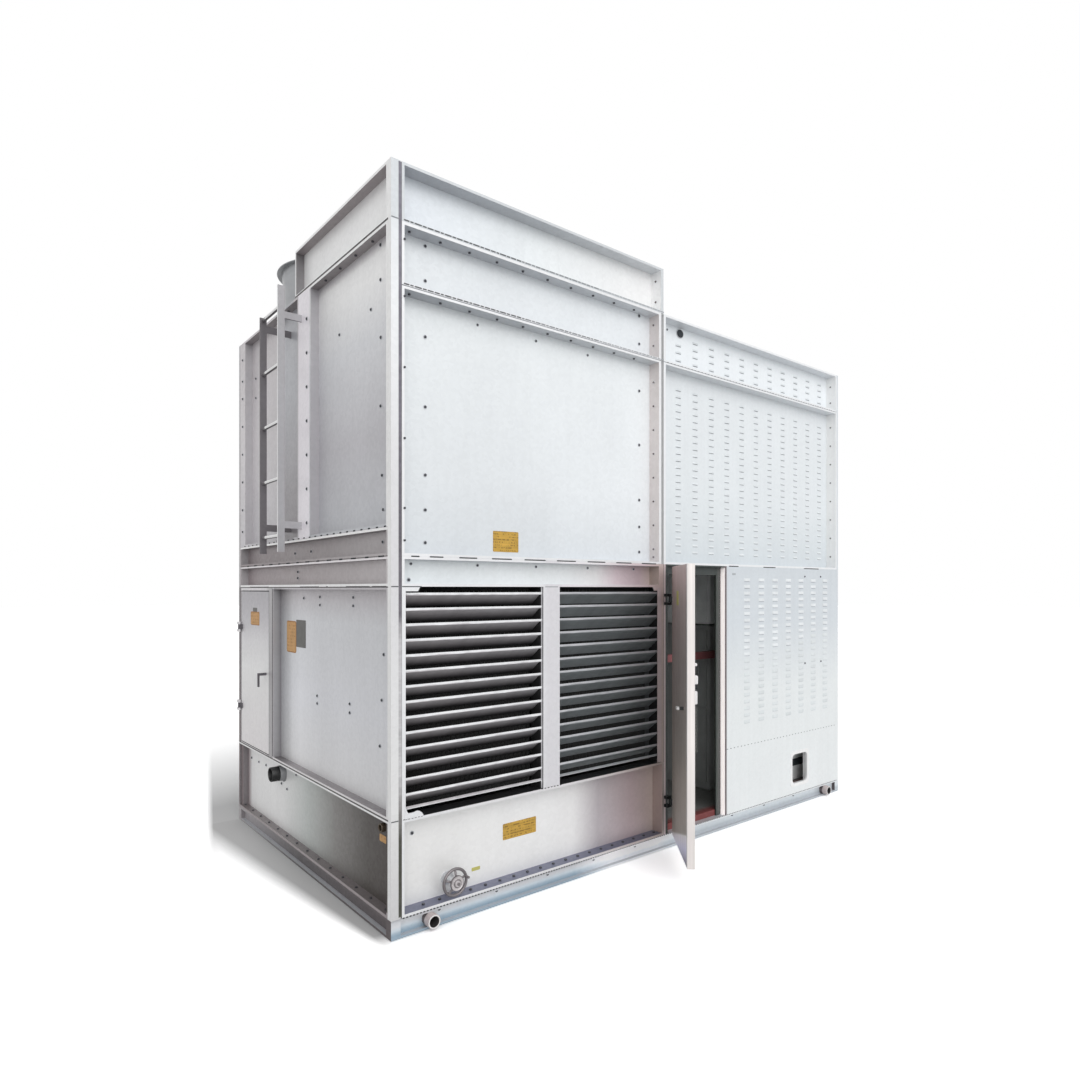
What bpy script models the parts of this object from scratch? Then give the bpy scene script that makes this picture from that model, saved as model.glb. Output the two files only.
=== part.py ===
"""Evaporative cooling tower with an attached machine room.

Metres, +Z up.  Places are measured from the near left ground corner of the plant: x along the
long front, y from the front to the back.  place() moves them to the middle of the footprint.
The casing is made of pressed trays: each is a thin sheet set back behind a lip on its four sides.
"""
import math

import bmesh
import bpy
from mathutils import Matrix, Vector

# Overall plan
LENGTH = 4.00
WIDTH = 2.32
TOWER_LENGTH = 1.888
COIL_DEPTH = 1.220
MODULE_GAP = 0.002
JOINT_SLOT = 0.020

# Heights of the storeys, from the ground up
RAIL_HEIGHT = 0.0915
BASIN_HEIGHT = 0.4615
LOUVRE_HEIGHT = 1.098
HEADER_HEIGHT = 0.144
CASING_HEIGHT = 1.275
FASCIA_HEIGHT = 0.300
RIM_HEIGHT = 0.280
STACK_HEIGHT = 0.410
BAND_HEIGHT = 0.138

# Pressed trays
FRONT_RECESS = 0.080
END_RECESS = 0.050
SHEET = 0.006
LIP = 0.014
RIGHT_LIP = 0.022
FAR_LIP = 0.105
SEAM_GAP = 0.004
SEAM_DEPTH = 0.010

# Posts, rails, plates and clearances
POST_FRONT = 0.050
POST_SIDE = 0.035
POST_SHEET = 0.005
ROOM_POST = 0.021
ROOM_WALL = 0.040
BASIN_WALL = 0.008
WALL_SHEET = 0.020
RAIL_WIDTH = 0.070
RAIL_FLANGE = 0.012
RAIL_RECESS = 0.025
CROSS_MEMBER_WIDTH = 0.080
CROSS_MEMBER_COUNT = 5
DECK_THICKNESS = 0.025
SEAT = 0.0003
RUNNING_GAP = 0.006
CUT_PAST = 0.050

# Louvres
LOUVRE_STRIP = 0.020
MULLION_WIDTH = 0.117
LOUVRE_PITCH = 0.0732
LOUVRE_TOP_DROP = 0.029
LOUVRE_SETBACK = 0.012
LOUVRE_DEPTH = 0.086
LOUVRE_FALL = 0.064
LOUVRE_FOOT_CLEARANCE = 0.027
LOUVRE_SHEET = 0.005
LOUVRE_LIP = 0.013
LOUVRE_SIDE = 0.006
SILL_LIP_TOP = 0.054
GUSSET_LENGTH = 0.080
GUSSET_HEIGHT = 0.022
GUSSET_CHAMFER = 0.014
GUSSET_SHEET = 0.006

# Machine room door, shown standing open
JAMB_WIDTH = 0.037
DOORWAY_WIDTH = 0.587
DOOR_HEAD = 0.010
DOOR_STOP = 0.052
DOOR_STOP_SHEET = 0.010
DOOR_PROUD = 0.012
DOOR_THICKNESS = 0.042
DOOR_RIM = 0.030
DOOR_SHEET = 0.012
DOOR_OPEN_ANGLE = math.radians(131)
HINGE_PROUD = 0.022
HINGE_PIN_RADIUS = 0.006
HINGE_BORE_RADIUS = 0.0066
HINGE_KNUCKLE_RADIUS = 0.0095
HINGE_HEIGHT = 0.070
HINGE_PIN_REACH = 0.031
HINGE_PLATE = 0.004
HINGE_PLATE_WIDTH = 0.034
HINGE_INSET = 0.205
KNOB_LEVEL = 0.963
KNOB_INSET = 0.120
KNOB_HALF_SIZE = 0.008
KNOB_PROUD = 0.028
KNOB_GRIP = 0.012
KNOB_REACH = 0.030

# Access door in the tower's end
ACCESS_DOOR_INSET = 0.054
ACCESS_DOORWAY_WIDTH = 0.583
ACCESS_DOORWAY_LOW = 0.009
ACCESS_DOORWAY_HEAD = 0.023
ACCESS_POST_WIDTH = 0.064
ACCESS_DOOR_THICKNESS = 0.030
ACCESS_HINGE_PROUD = 0.014
ACCESS_HINGE_INSET = 0.250
LEVER_LEVEL = 1.085
LEVER_INSET = 0.050
LEVER_HALF_SIZE = 0.008
LEVER_PROUD = 0.045
LEVER_GRIP = 0.010
LEVER_DROP = 0.080

# Machine room window and cross bar
WINDOW_FROM_END = 0.676
WINDOW_WIDTH = 0.225
WINDOW_BOTTOM = 0.157
WINDOW_HEIGHT = 0.239
CROSS_BAR_LEVEL = 1.13
CROSS_BAR_SIZE = 0.050
CROSS_BAR_DEPTH = 0.290

# End stiffener and ladder
STIFFENER_FROM_COIL = 0.049
STIFFENER_WIDTH = 0.174
LADDER_OVERLAP = 0.056
LADDER_WIDTH = 0.320
LADDER_STANDOFF = 0.100
LADDER_BOTTOM = 1.852
LADDER_TOP = 3.385
LADDER_FAR_TOP = 3.285
LADDER_RAIL = 0.040
LADDER_SHEET = 0.010
RUNG_RADIUS = 0.011
RUNG_SIDES = 8
RUNG_PITCH = 0.330
FIRST_RUNG_RISE = 0.097
FOOT_BRACKET_RISE = 0.138
HEAD_BRACKET_DROP = 0.085

# Fans on the rear deck
FAN_COUNT = 2
DECK_MARGIN = 0.101
STACK_WALL = 0.006
STACK_LIP = 0.030
STACK_FLARE = 0.020
FAN_TIP_GAP = 0.028
FAN_LEVEL = 0.120
FAN_HUB_RADIUS = 0.075
FAN_HUB_HEIGHT = 0.090
FAN_HUB_BEVEL = 0.012
FAN_BLADE_COUNT = 6
FAN_BLADE_CHORD = 0.150
FAN_BLADE_TAPER = 0.72
FAN_BLADE_SHEET = 0.008
FAN_BLADE_ANGLE = math.radians(38)
FAN_BLADE_TWIST = math.radians(20)
FAN_BLADE_CUTS = 4
FAN_SHAFT_RADIUS = 0.022
FAN_SHAFT_LENGTH = 0.120
MOTOR_RADIUS = 0.085
MOTOR_HEIGHT = 0.200
MOTOR_BEAM_HEIGHT = 0.060
MOTOR_BEAM_WIDTH = 0.080

# Coil and spray pipes under the open rim
COIL_TUBE_RADIUS = 0.0135
COIL_TUBE_COUNT = 18
COIL_ROWS = 4
COIL_ROW_PITCH = 0.070
COIL_TOP_DROP = 0.200
COIL_SHEET = 0.012
SPRAY_DROP = 0.060
SPRAY_HEADER_RADIUS = 0.038
SPRAY_BRANCH_RADIUS = 0.017
SPRAY_BRANCH_COUNT = 4

# Valve, stubs and lifting tubes
HANDWHEEL_X = 0.350
HANDWHEEL_Y = 0.000
HANDWHEEL_Z = 0.188
HANDWHEEL_RADIUS = 0.072
HANDWHEEL_TUBE = 0.0075
HANDWHEEL_HUB_RADIUS = 0.018
HANDWHEEL_HUB_DEPTH = 0.030
HANDWHEEL_SPOKES = 5
HANDWHEEL_SPOKE_RADIUS = 0.005
VALVE_FLANGE_RADIUS = 0.034
VALVE_FLANGE_DEPTH = 0.010
VALVE_STEM_RADIUS = 0.013
OVERFLOW_Y = 1.556
OVERFLOW_Z = 0.470
OVERFLOW_RADIUS = 0.042
OVERFLOW_LENGTH = 0.066
DRAIN_Y = 0.108
DRAIN_Z = 0.501
DRAIN_RADIUS = 0.021
DRAIN_LENGTH = 0.052
STUB_WALL = 0.006
STUB_BORE_START = 0.020
LIFT_TUBE_INSET = 0.209
LIFT_TUBE_RADIUS = 0.033
LIFT_TUBE_WALL = 0.006
LIFT_TUBE_PROUD = 0.040

# Levels and lines that follow from the sizes
RAIL_TOP = RAIL_HEIGHT
BASIN_TOP = RAIL_TOP + BASIN_HEIGHT
LOUVRE_TOP = BASIN_TOP + LOUVRE_HEIGHT
HEADER_TOP = LOUVRE_TOP + HEADER_HEIGHT
BAND_TOP = HEADER_TOP + BAND_HEIGHT
BELT_LEVEL = HEADER_TOP + CASING_HEIGHT
CASING_TOP = BELT_LEVEL + FASCIA_HEIGHT
RIM_TOP = CASING_TOP + RIM_HEIGHT
STACK_TOP = CASING_TOP + STACK_HEIGHT
FRONT_DEPTH = FRONT_RECESS + SHEET
END_DEPTH = END_RECESS + SHEET
FRONT_START = END_DEPTH + SEAT
CASING_END = TOWER_LENGTH - JOINT_SLOT
ROOM_START = TOWER_LENGTH + MODULE_GAP
DOORWAY_LEFT = ROOM_START + JAMB_WIDTH
DOORWAY_RIGHT = DOORWAY_LEFT + DOORWAY_WIDTH
BACK_POST_LINE = WIDTH - POST_SIDE - SEAT
STIFFENER_END = COIL_DEPTH - STIFFENER_FROM_COIL
ACCESS_DOORWAY_RIGHT = WIDTH - ACCESS_DOOR_INSET
ACCESS_DOORWAY_LEFT = ACCESS_DOORWAY_RIGHT - ACCESS_DOORWAY_WIDTH
ACCESS_POST_LEFT = ACCESS_DOORWAY_LEFT - ACCESS_POST_WIDTH
LOUVRE_ROOM = LOUVRE_HEIGHT - LOUVRE_TOP_DROP - LOUVRE_FALL - LOUVRE_FOOT_CLEARANCE
LOUVRE_COUNT = int(LOUVRE_ROOM / LOUVRE_PITCH) + 1
STACK_LIP_RADIUS = min(TOWER_LENGTH / FAN_COUNT, WIDTH - COIL_DEPTH) / 2 - DECK_MARGIN
STACK_THROAT = STACK_LIP_RADIUS - STACK_LIP - STACK_FLARE - STACK_WALL
DOOR_STOP_FRONT = DOOR_THICKNESS - DOOR_PROUD + RUNNING_GAP
DOOR_FRAME_DEPTH = DOOR_STOP_FRONT + DOOR_STOP_SHEET

COLLECTION = "cooling_tower"
ROUND_SIDES = 24
ROD_SIDES = 16
WELD = 0.00005
CURVE_WEIGHT = 1


def clear_scene():
    for item in list(bpy.data.objects):
        bpy.data.objects.remove(item, do_unlink=True)


def collection(name):
    made = bpy.data.collections.new(name)
    bpy.context.scene.collection.children.link(made)
    return made


def material(name, colour, roughness, metallic):
    made = bpy.data.materials.new(name)
    made.use_nodes = True
    shader = made.node_tree.nodes["Principled BSDF"]
    shader.inputs["Base Color"].default_value = (*colour, 1.0)
    shader.inputs["Roughness"].default_value = roughness
    shader.inputs["Metallic"].default_value = metallic
    return made


def place(x, y, z):
    """Plant coordinates to the frame whose origin is the middle of the footprint."""
    return Vector((x - LENGTH / 2, y - WIDTH / 2, z))


def add_object(name, mesh, group, finish=None):
    made = bpy.data.objects.new(name, mesh)
    group.objects.link(made)
    if finish is not None:
        mesh.materials.append(finish)
    return made


def mesh_from(name, build):
    bm = bmesh.new()
    build(bm)
    mesh = bpy.data.meshes.new(name)
    bm.to_mesh(mesh)
    bm.free()
    return mesh


def add_local_block(bm, x_span, y_span, z_span):
    """A block between two planes on each axis, in the object's own coordinates."""
    spans = (x_span, y_span, z_span)
    size = Matrix.Diagonal((*[high - low for low, high in spans], 1.0))
    middle = Matrix.Translation([(low + high) / 2 for low, high in spans])
    bmesh.ops.create_cube(bm, size=1.0, matrix=middle @ size)


def add_block(bm, x_span, y_span, z_span):
    """A block between two planes on each axis, in plant coordinates."""
    corner = place(0, 0, 0)
    add_local_block(bm, [x + corner.x for x in x_span], [y + corner.y for y in y_span], z_span)


def add_rod(bm, start, end, radius, sides=ROD_SIDES):
    """A cylinder between two points in plant coordinates."""
    first = place(*start)
    last = place(*end)
    turn = (last - first).to_track_quat("Z", "Y").to_matrix().to_4x4()
    bmesh.ops.create_cone(bm, cap_ends=True, segments=sides, radius1=radius, radius2=radius,
                          depth=(last - first).length,
                          matrix=Matrix.Translation((first + last) / 2) @ turn)


def plate_mesh(points, thickness):
    """A flat closed outline with its thickness centred on its plane."""
    curve = bpy.data.curves.new("outline", "CURVE")
    curve.dimensions = "2D"
    curve.fill_mode = "BOTH"
    curve.extrude = thickness / 2
    spline = curve.splines.new("POLY")
    spline.points.add(len(points) - 1)
    for point, (x, y) in zip(spline.points, points):
        point.co = (x, y, 0, CURVE_WEIGHT)
    spline.use_cyclic_u = True
    holder = bpy.data.objects.new("outline", curve)
    bpy.context.scene.collection.objects.link(holder)
    solid = holder.evaluated_get(bpy.context.evaluated_depsgraph_get())
    loose = bpy.data.meshes.new_from_object(solid)
    bpy.data.objects.remove(holder, do_unlink=True)

    def weld(bm):
        bm.from_mesh(loose)
        bmesh.ops.remove_doubles(bm, verts=bm.verts[:], dist=WELD)
        bmesh.ops.recalc_face_normals(bm, faces=bm.faces[:])

    return mesh_from("plate", weld)


def add_copies(bm, mesh, matrices):
    """The same mesh at several places; the mesh itself is used up."""
    for matrix in matrices:
        copy = mesh.copy()
        copy.transform(matrix)
        bm.from_mesh(copy)
        bpy.data.meshes.remove(copy)
    bpy.data.meshes.remove(mesh)


def tool(name, build):
    """A hidden solid that cuts or joins; it is not a piece of the plant."""
    made = add_object(name, mesh_from(name, build), TOOLS)
    made.hide_render = True
    made.display_type = "WIRE"
    return made


def boolean(target, other, operation, overlapping=False):
    step = target.modifiers.new(other.name, "BOOLEAN")
    step.operation = operation
    step.solver = "EXACT"
    step.use_self = overlapping
    step.object = other


def piece(name, finish, build, add=None, cut=None, overlapping=False):
    """A named node from a first solid, what is joined to it and what is cut out of it."""
    made = add_object(name, mesh_from(name, build), PARTS, finish)
    if add is not None:
        boolean(made, tool(name + "_join", add), "UNION", overlapping)
    if cut is not None:
        boolean(made, tool(name + "_cut", cut), "DIFFERENCE")
    return made


def face_block(face, along, depth, z_span):
    """The spans of a block given by its run along one outer face and its depth behind it."""
    if face == "front":
        return along, depth, z_span
    if face == "back":
        return along, (WIDTH - depth[1], WIDTH - depth[0]), z_span
    if face == "left":
        return depth, along, z_span
    return (LENGTH - depth[1], LENGTH - depth[0]), along, z_span


def add_recess(bm, face, along, z_span, recess, ends=(LIP, LIP)):
    """The space in front of a tray's sheet, inside its four lips."""
    across = (along[0] + ends[0], along[1] - ends[1])
    add_block(bm, *face_block(face, across, (-CUT_PAST, recess), (z_span[0] + LIP, z_span[1] - LIP)))


def add_seam(bm, face, along, level):
    """The fine joint that shows between the lips of two trays, one above the other."""
    across = (along[0] - CUT_PAST, along[1] + CUT_PAST)
    z_span = (level - SEAM_GAP / 2, level + SEAM_GAP / 2)
    add_block(bm, *face_block(face, across, (-CUT_PAST, SEAM_DEPTH), z_span))


def tray(name, finish, face, along, levels, recess, ends=(LIP, LIP)):
    """Trays one above another between the given levels, in one node."""

    def body(bm):
        add_block(bm, *face_block(face, along, (0, recess + SHEET), (levels[0], levels[-1])))

    def hollows(bm):
        for z_span in zip(levels, levels[1:]):
            add_recess(bm, face, along, z_span, recess, ends)
        for level in levels[1:-1]:
            add_seam(bm, face, along, level)

    return piece(name, finish, body, cut=hollows)


def spread(start, end, count):
    """count places with equal gaps between them and to both ends."""
    return [start + (end - start) * (index + 1) / (count + 1) for index in range(count)]


def make_base_frame():
    rail = RAIL_WIDTH
    members = [rail, *spread(rail, LENGTH - rail, CROSS_MEMBER_COUNT), LENGTH - rail]

    def body(bm):
        add_block(bm, (0, LENGTH), (0, WIDTH), (0, RAIL_HEIGHT))

    def openings(bm):
        for index in range(CROSS_MEMBER_COUNT + 1):
            first = members[index]
            last = members[index + 1]
            if index > 0:
                first += CROSS_MEMBER_WIDTH / 2
            if index < CROSS_MEMBER_COUNT:
                last -= CROSS_MEMBER_WIDTH / 2
            add_block(bm, (first, last), (rail, WIDTH - rail), (-CUT_PAST, RAIL_HEIGHT + CUT_PAST))
        groove = (RAIL_FLANGE, RAIL_HEIGHT - RAIL_FLANGE)
        for face, reach in (("front", LENGTH), ("back", LENGTH), ("left", WIDTH), ("right", WIDTH)):
            along = (POST_FRONT, reach - POST_FRONT)
            add_block(bm, *face_block(face, along, (-CUT_PAST, RAIL_RECESS), groove))

    def tubes(bm, radius, outwards, inwards):
        for x in (LIFT_TUBE_INSET, LENGTH - LIFT_TUBE_INSET):
            for start, end in ((-outwards, inwards), (WIDTH - inwards, WIDTH + outwards)):
                add_rod(bm, (x, start, RAIL_HEIGHT / 2), (x, end, RAIL_HEIGHT / 2), radius)

    frame = piece("base_frame", GALVANISED, body, cut=openings)
    boolean(frame, tool("lifting_tubes",
                        lambda bm: tubes(bm, LIFT_TUBE_RADIUS, LIFT_TUBE_PROUD, rail / 2)), "UNION")
    bore = LIFT_TUBE_RADIUS - LIFT_TUBE_WALL
    boolean(frame, tool("lifting_tube_bores",
                        lambda bm: tubes(bm, bore, LIFT_TUBE_PROUD + CUT_PAST, rail + CUT_PAST)),
            "DIFFERENCE")


def make_basin():
    low = RAIL_TOP + SEAT
    z_span = (low, BASIN_TOP)

    def body(bm):
        add_block(bm, (0, TOWER_LENGTH), (0, WIDTH), z_span)

    def recesses(bm):
        add_recess(bm, "front", (FRONT_START, TOWER_LENGTH), z_span, FRONT_RECESS)
        add_recess(bm, "left", (POST_SIDE, WIDTH), z_span, END_RECESS)
        add_recess(bm, "back", (0, TOWER_LENGTH), z_span, END_RECESS)
        add_block(bm, (-CUT_PAST, FRONT_START), (-CUT_PAST, POST_SIDE + SEAT),
                  (low - CUT_PAST, BASIN_TOP + CUT_PAST))

    def tank(bm):
        add_block(bm, (END_DEPTH, TOWER_LENGTH - BASIN_WALL), (FRONT_DEPTH, WIDTH - END_DEPTH),
                  (low + BASIN_WALL, BASIN_TOP + CUT_PAST))

    basin = piece("basin", GALVANISED, body, cut=recesses)
    boolean(basin, tool("basin_tank", tank), "DIFFERENCE")


def make_posts():
    def angle(name, y_span, y_hollow, low):
        def body(bm):
            add_block(bm, (0, POST_FRONT), y_span, (low, CASING_TOP))

        def hollow(bm):
            add_block(bm, (POST_SHEET, POST_FRONT + CUT_PAST), y_hollow,
                      (low - CUT_PAST, CASING_TOP + CUT_PAST))

        piece(name, GALVANISED, body, cut=hollow)

    angle("corner_post_front_left", (0, POST_SIDE), (POST_SHEET, POST_SIDE + CUT_PAST),
          RAIL_TOP + SEAT)
    angle("corner_post_back_left", (WIDTH - POST_SIDE, WIDTH),
          (WIDTH - POST_SIDE - CUT_PAST, WIDTH - POST_SHEET), BASIN_TOP + SEAT)

    def room_post(name, y_span, notch):
        def body(bm):
            add_block(bm, (LENGTH - ROOM_POST, LENGTH), y_span, (RAIL_TOP + SEAT, CASING_TOP))

        piece(name, PAINTED, body, cut=notch)

    def lower_panel_notch(bm):
        add_block(bm, (LENGTH - ROOM_POST - CUT_PAST, LENGTH + CUT_PAST),
                  (-CUT_PAST, ROOM_WALL + SEAT), (0, HEADER_TOP))

    room_post("room_post_front", (0, FRONT_DEPTH), lower_panel_notch)
    room_post("room_post_back", (WIDTH - FRONT_DEPTH, WIDTH), None)


def louvre_bank(name, x_span):
    """Blades that fall inwards from a bright front lip, held between two side plates."""
    left, right = x_span
    front = LOUVRE_SETBACK
    low = BASIN_TOP + SEAT
    sheet = LOUVRE_SHEET

    def sides(bm):
        for start in (left, right - LOUVRE_SIDE):
            add_block(bm, (start, start + LOUVRE_SIDE), (front, front + LOUVRE_DEPTH),
                      (low, LOUVRE_TOP))

    def blades(bm):
        outline = [(0, 0), (sheet, 0), (LOUVRE_DEPTH, -LOUVRE_FALL),
                   (LOUVRE_DEPTH, -LOUVRE_FALL - sheet), (sheet, -sheet), (sheet, -LOUVRE_LIP),
                   (0, -LOUVRE_LIP)]
        across = right - left - LOUVRE_SIDE
        upright = Matrix(((0, 0, 1, 0), (1, 0, 0, 0), (0, 1, 0, 0), (0, 0, 0, 1)))
        tops = [LOUVRE_TOP - LOUVRE_TOP_DROP - index * LOUVRE_PITCH for index in range(LOUVRE_COUNT)]
        add_copies(bm, plate_mesh(outline, across),
                   [Matrix.Translation(place((left + right) / 2, front, top)) @ upright
                    for top in tops])
        inner = (left + LOUVRE_SIDE / 2, right - LOUVRE_SIDE / 2)
        sill = low + SILL_LIP_TOP
        add_block(bm, inner, (front, front + sheet), (sill - LOUVRE_LIP, sill))

    piece(name, DARK_SHEET, sides, add=blades)


def make_front_lower():
    edges = (FRONT_START + LOUVRE_STRIP, TOWER_LENGTH - LOUVRE_STRIP)
    middle = sum(edges) / 2
    bays = ((edges[0], middle - MULLION_WIDTH / 2), (middle + MULLION_WIDTH / 2, edges[1]))
    low = BASIN_TOP + SEAT
    x_span = (FRONT_START, TOWER_LENGTH - SEAT)

    def body(bm):
        add_block(bm, x_span, (0, FRONT_DEPTH), (low, HEADER_TOP - SEAT))

    def openings(bm):
        for left, right in bays:
            add_block(bm, (left, right), (-CUT_PAST, FRONT_DEPTH + CUT_PAST),
                      (low - CUT_PAST, LOUVRE_TOP))
        add_recess(bm, "front", x_span, (LOUVRE_TOP, HEADER_TOP - SEAT), FRONT_RECESS,
                   (LIP, RIGHT_LIP + JOINT_SLOT))

    def gussets(bm):
        """Chamfered corner plates at the top of the outer sides, and at the near one's foot."""
        overlap = GUSSET_SHEET / 2
        outline = [(-overlap, overlap), (GUSSET_LENGTH, overlap),
                   (GUSSET_LENGTH - GUSSET_CHAMFER, -GUSSET_HEIGHT), (-overlap, -GUSSET_HEIGHT)]
        upright = Matrix.Rotation(math.radians(90), 4, "X")
        near = bays[0][0]
        far = bays[-1][1]
        corners = ((near, LOUVRE_TOP, 1, 1), (far, LOUVRE_TOP, -1, 1), (near, low + overlap, 1, -1))
        spots = [Matrix.Translation(place(x, GUSSET_SHEET / 2, z))
                 @ Matrix.Diagonal((mirror_x, 1, mirror_z, 1)) @ upright
                 for x, z, mirror_x, mirror_z in corners]
        add_copies(bm, plate_mesh(outline, GUSSET_SHEET), spots)
        bmesh.ops.recalc_face_normals(bm, faces=bm.faces[:])

    surround = piece("louvre_surround", GALVANISED, body, cut=openings)
    boolean(surround, tool("gussets", gussets), "UNION")
    for name, (left, right) in zip(("louvre_bank_left", "louvre_bank_right"), bays):
        louvre_bank(name, (left + SEAT, right - SEAT))


def make_tower_walls():
    upper = (HEADER_TOP, BELT_LEVEL, CASING_TOP)
    lower_top = HEADER_TOP - SEAT
    low = BASIN_TOP + SEAT
    near = POST_SIDE + SEAT
    far = BACK_POST_LINE
    stiffener = (STIFFENER_END - STIFFENER_WIDTH, STIFFENER_END)
    tray("tower_front_panel", GALVANISED, "front", (FRONT_START, CASING_END), upper, FRONT_RECESS,
         (LIP, RIGHT_LIP))
    tray("tower_back_lower", GALVANISED, "back", (FRONT_START, TOWER_LENGTH - SEAT),
         (low, LOUVRE_TOP, lower_top), END_RECESS)
    tray("tower_back_upper", GALVANISED, "back", (FRONT_START, CASING_END), upper, END_RECESS,
         (LIP, RIGHT_LIP))
    tray("end_lower_panel", GALVANISED, "left", (near, ACCESS_POST_LEFT - SEAT),
         (low, LOUVRE_TOP - SEAT), END_RECESS)
    tray("end_band", GALVANISED, "left", (near, far), (LOUVRE_TOP, HEADER_TOP, BAND_TOP - SEAT),
         END_RECESS)
    tray("end_upper_panel_front", GALVANISED, "left", (near, stiffener[0] - SEAT),
         (BAND_TOP, CASING_TOP), END_RECESS)
    tray("end_upper_panel_back", GALVANISED, "left", (stiffener[1] + SEAT, far),
         (BAND_TOP, CASING_TOP), END_RECESS, (LIP, FAR_LIP))
    piece("end_stiffener", GALVANISED,
          lambda bm: add_block(bm, (0, END_DEPTH), stiffener, (BAND_TOP, CASING_TOP)))

    def frame(bm):
        add_block(bm, (0, END_DEPTH), (ACCESS_POST_LEFT, far), (low, LOUVRE_TOP - SEAT))

    def doorway(bm):
        add_block(bm, (-CUT_PAST, END_DEPTH + CUT_PAST), (ACCESS_DOORWAY_LEFT, ACCESS_DOORWAY_RIGHT),
                  (BASIN_TOP + ACCESS_DOORWAY_LOW, LOUVRE_TOP - ACCESS_DOORWAY_HEAD))

    piece("end_door_frame", GALVANISED, frame, cut=doorway)


def make_inner_walls():
    def partition(bm):
        add_block(bm, (CASING_END + SEAT, TOWER_LENGTH),
                  (FRONT_DEPTH + SEAT, WIDTH - END_DEPTH - SEAT),
                  (BASIN_TOP + SEAT, CASING_TOP - DECK_THICKNESS - SEAT))

    def coil_wall(bm):
        add_block(bm, (END_DEPTH + SEAT, CASING_END - SEAT),
                  (COIL_DEPTH - WALL_SHEET, COIL_DEPTH), (LOUVRE_TOP, CASING_TOP))

    piece("partition_wall", GALVANISED, partition)
    piece("coil_back_wall", GALVANISED, coil_wall)


def make_rim():
    """The open rim over the coil: four tray walls with flanges at their top and bottom."""
    low = CASING_TOP + SEAT
    side = END_DEPTH
    inner_x = (side, TOWER_LENGTH - side)
    z_cut = (low + LIP, RIM_TOP - LIP)

    def body(bm):
        add_block(bm, (0, TOWER_LENGTH), (0, COIL_DEPTH), (low, RIM_TOP))

    def recesses(bm):
        add_block(bm, (FRONT_START + LIP, TOWER_LENGTH - RIGHT_LIP), (-CUT_PAST, FRONT_RECESS), z_cut)
        add_block(bm, (FRONT_START - RUNNING_GAP, FRONT_START), (-CUT_PAST, SEAM_DEPTH),
                  (low - CUT_PAST, RIM_TOP + CUT_PAST))
        near = POST_SIDE + LIP
        for x_span in ((-CUT_PAST, END_RECESS), (TOWER_LENGTH - END_RECESS, TOWER_LENGTH + CUT_PAST)):
            add_block(bm, x_span, (FRONT_DEPTH + LIP if x_span[0] > 0 else near, COIL_DEPTH - LIP),
                      z_cut)
        add_block(bm, (side + LIP, TOWER_LENGTH - side - LIP),
                  (COIL_DEPTH - END_RECESS, COIL_DEPTH + CUT_PAST), z_cut)

    def mouth(bm):
        add_block(bm, inner_x, (FRONT_DEPTH, COIL_DEPTH - side), (low - CUT_PAST, RIM_TOP + CUT_PAST))

    rim = piece("inlet_rim", GALVANISED, body, cut=recesses)
    boolean(rim, tool("inlet_rim_mouth", mouth), "DIFFERENCE")


def make_coil():
    x_start = END_DEPTH + SEAT
    x_end = CASING_END - SEAT
    y_start = FRONT_DEPTH + SEAT
    y_end = COIL_DEPTH - WALL_SHEET - SEAT
    top = CASING_TOP - COIL_TOP_DROP
    low = top - COIL_ROWS * COIL_ROW_PITCH

    def sheets(bm):
        for start in (x_start, x_end - COIL_SHEET):
            add_block(bm, (start, start + COIL_SHEET), (y_start, y_end), (low, top))

    def tubes(bm):
        tube_pitch = (y_end - y_start) / (COIL_TUBE_COUNT + 1)
        for row in range(COIL_ROWS):
            z = top - (row + 1 / 2) * COIL_ROW_PITCH
            shift = (row % 2) * tube_pitch / 2
            for y in spread(y_start, y_end, COIL_TUBE_COUNT):
                add_rod(bm, (x_start + COIL_SHEET / 2, y - tube_pitch / 4 + shift, z),
                        (x_end - COIL_SHEET / 2, y - tube_pitch / 4 + shift, z), COIL_TUBE_RADIUS, 6)

    piece("coil_bundle", DARK_SHEET, sheets, add=tubes)

    header_z = CASING_TOP - SPRAY_DROP
    header_y = (y_start + y_end) / 2

    def header(bm):
        add_rod(bm, (x_start, header_y, header_z), (x_end, header_y, header_z), SPRAY_HEADER_RADIUS)

    def branches(bm):
        for x in spread(x_start, x_end, SPRAY_BRANCH_COUNT):
            add_rod(bm, (x, y_start, header_z), (x, y_end, header_z), SPRAY_BRANCH_RADIUS, 8)

    piece("spray_pipes", BLACK_PLASTIC, header, add=branches)


def make_fans():
    y_span = (COIL_DEPTH + SEAT, WIDTH - END_DEPTH - SEAT)
    bay = TOWER_LENGTH / FAN_COUNT
    centres = [bay * (index + 1 / 2) for index in range(FAN_COUNT)]
    y = (COIL_DEPTH + WIDTH) / 2

    def deck(bm):
        add_block(bm, (END_DEPTH + SEAT, TOWER_LENGTH - SEAT), y_span,
                  (CASING_TOP - DECK_THICKNESS, CASING_TOP))

    def holes(bm):
        for x in centres:
            add_rod(bm, (x, y, CASING_TOP - DECK_THICKNESS - CUT_PAST),
                    (x, y, CASING_TOP + CUT_PAST), STACK_THROAT, ROUND_SIDES)

    piece("fan_deck", GALVANISED, deck, cut=holes)
    for side, x in zip(("left", "right"), centres):
        make_stack("fan_stack_" + side, x, y)
        make_fan(side, x, y)
        make_drive(side, x, y, y_span)


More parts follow.
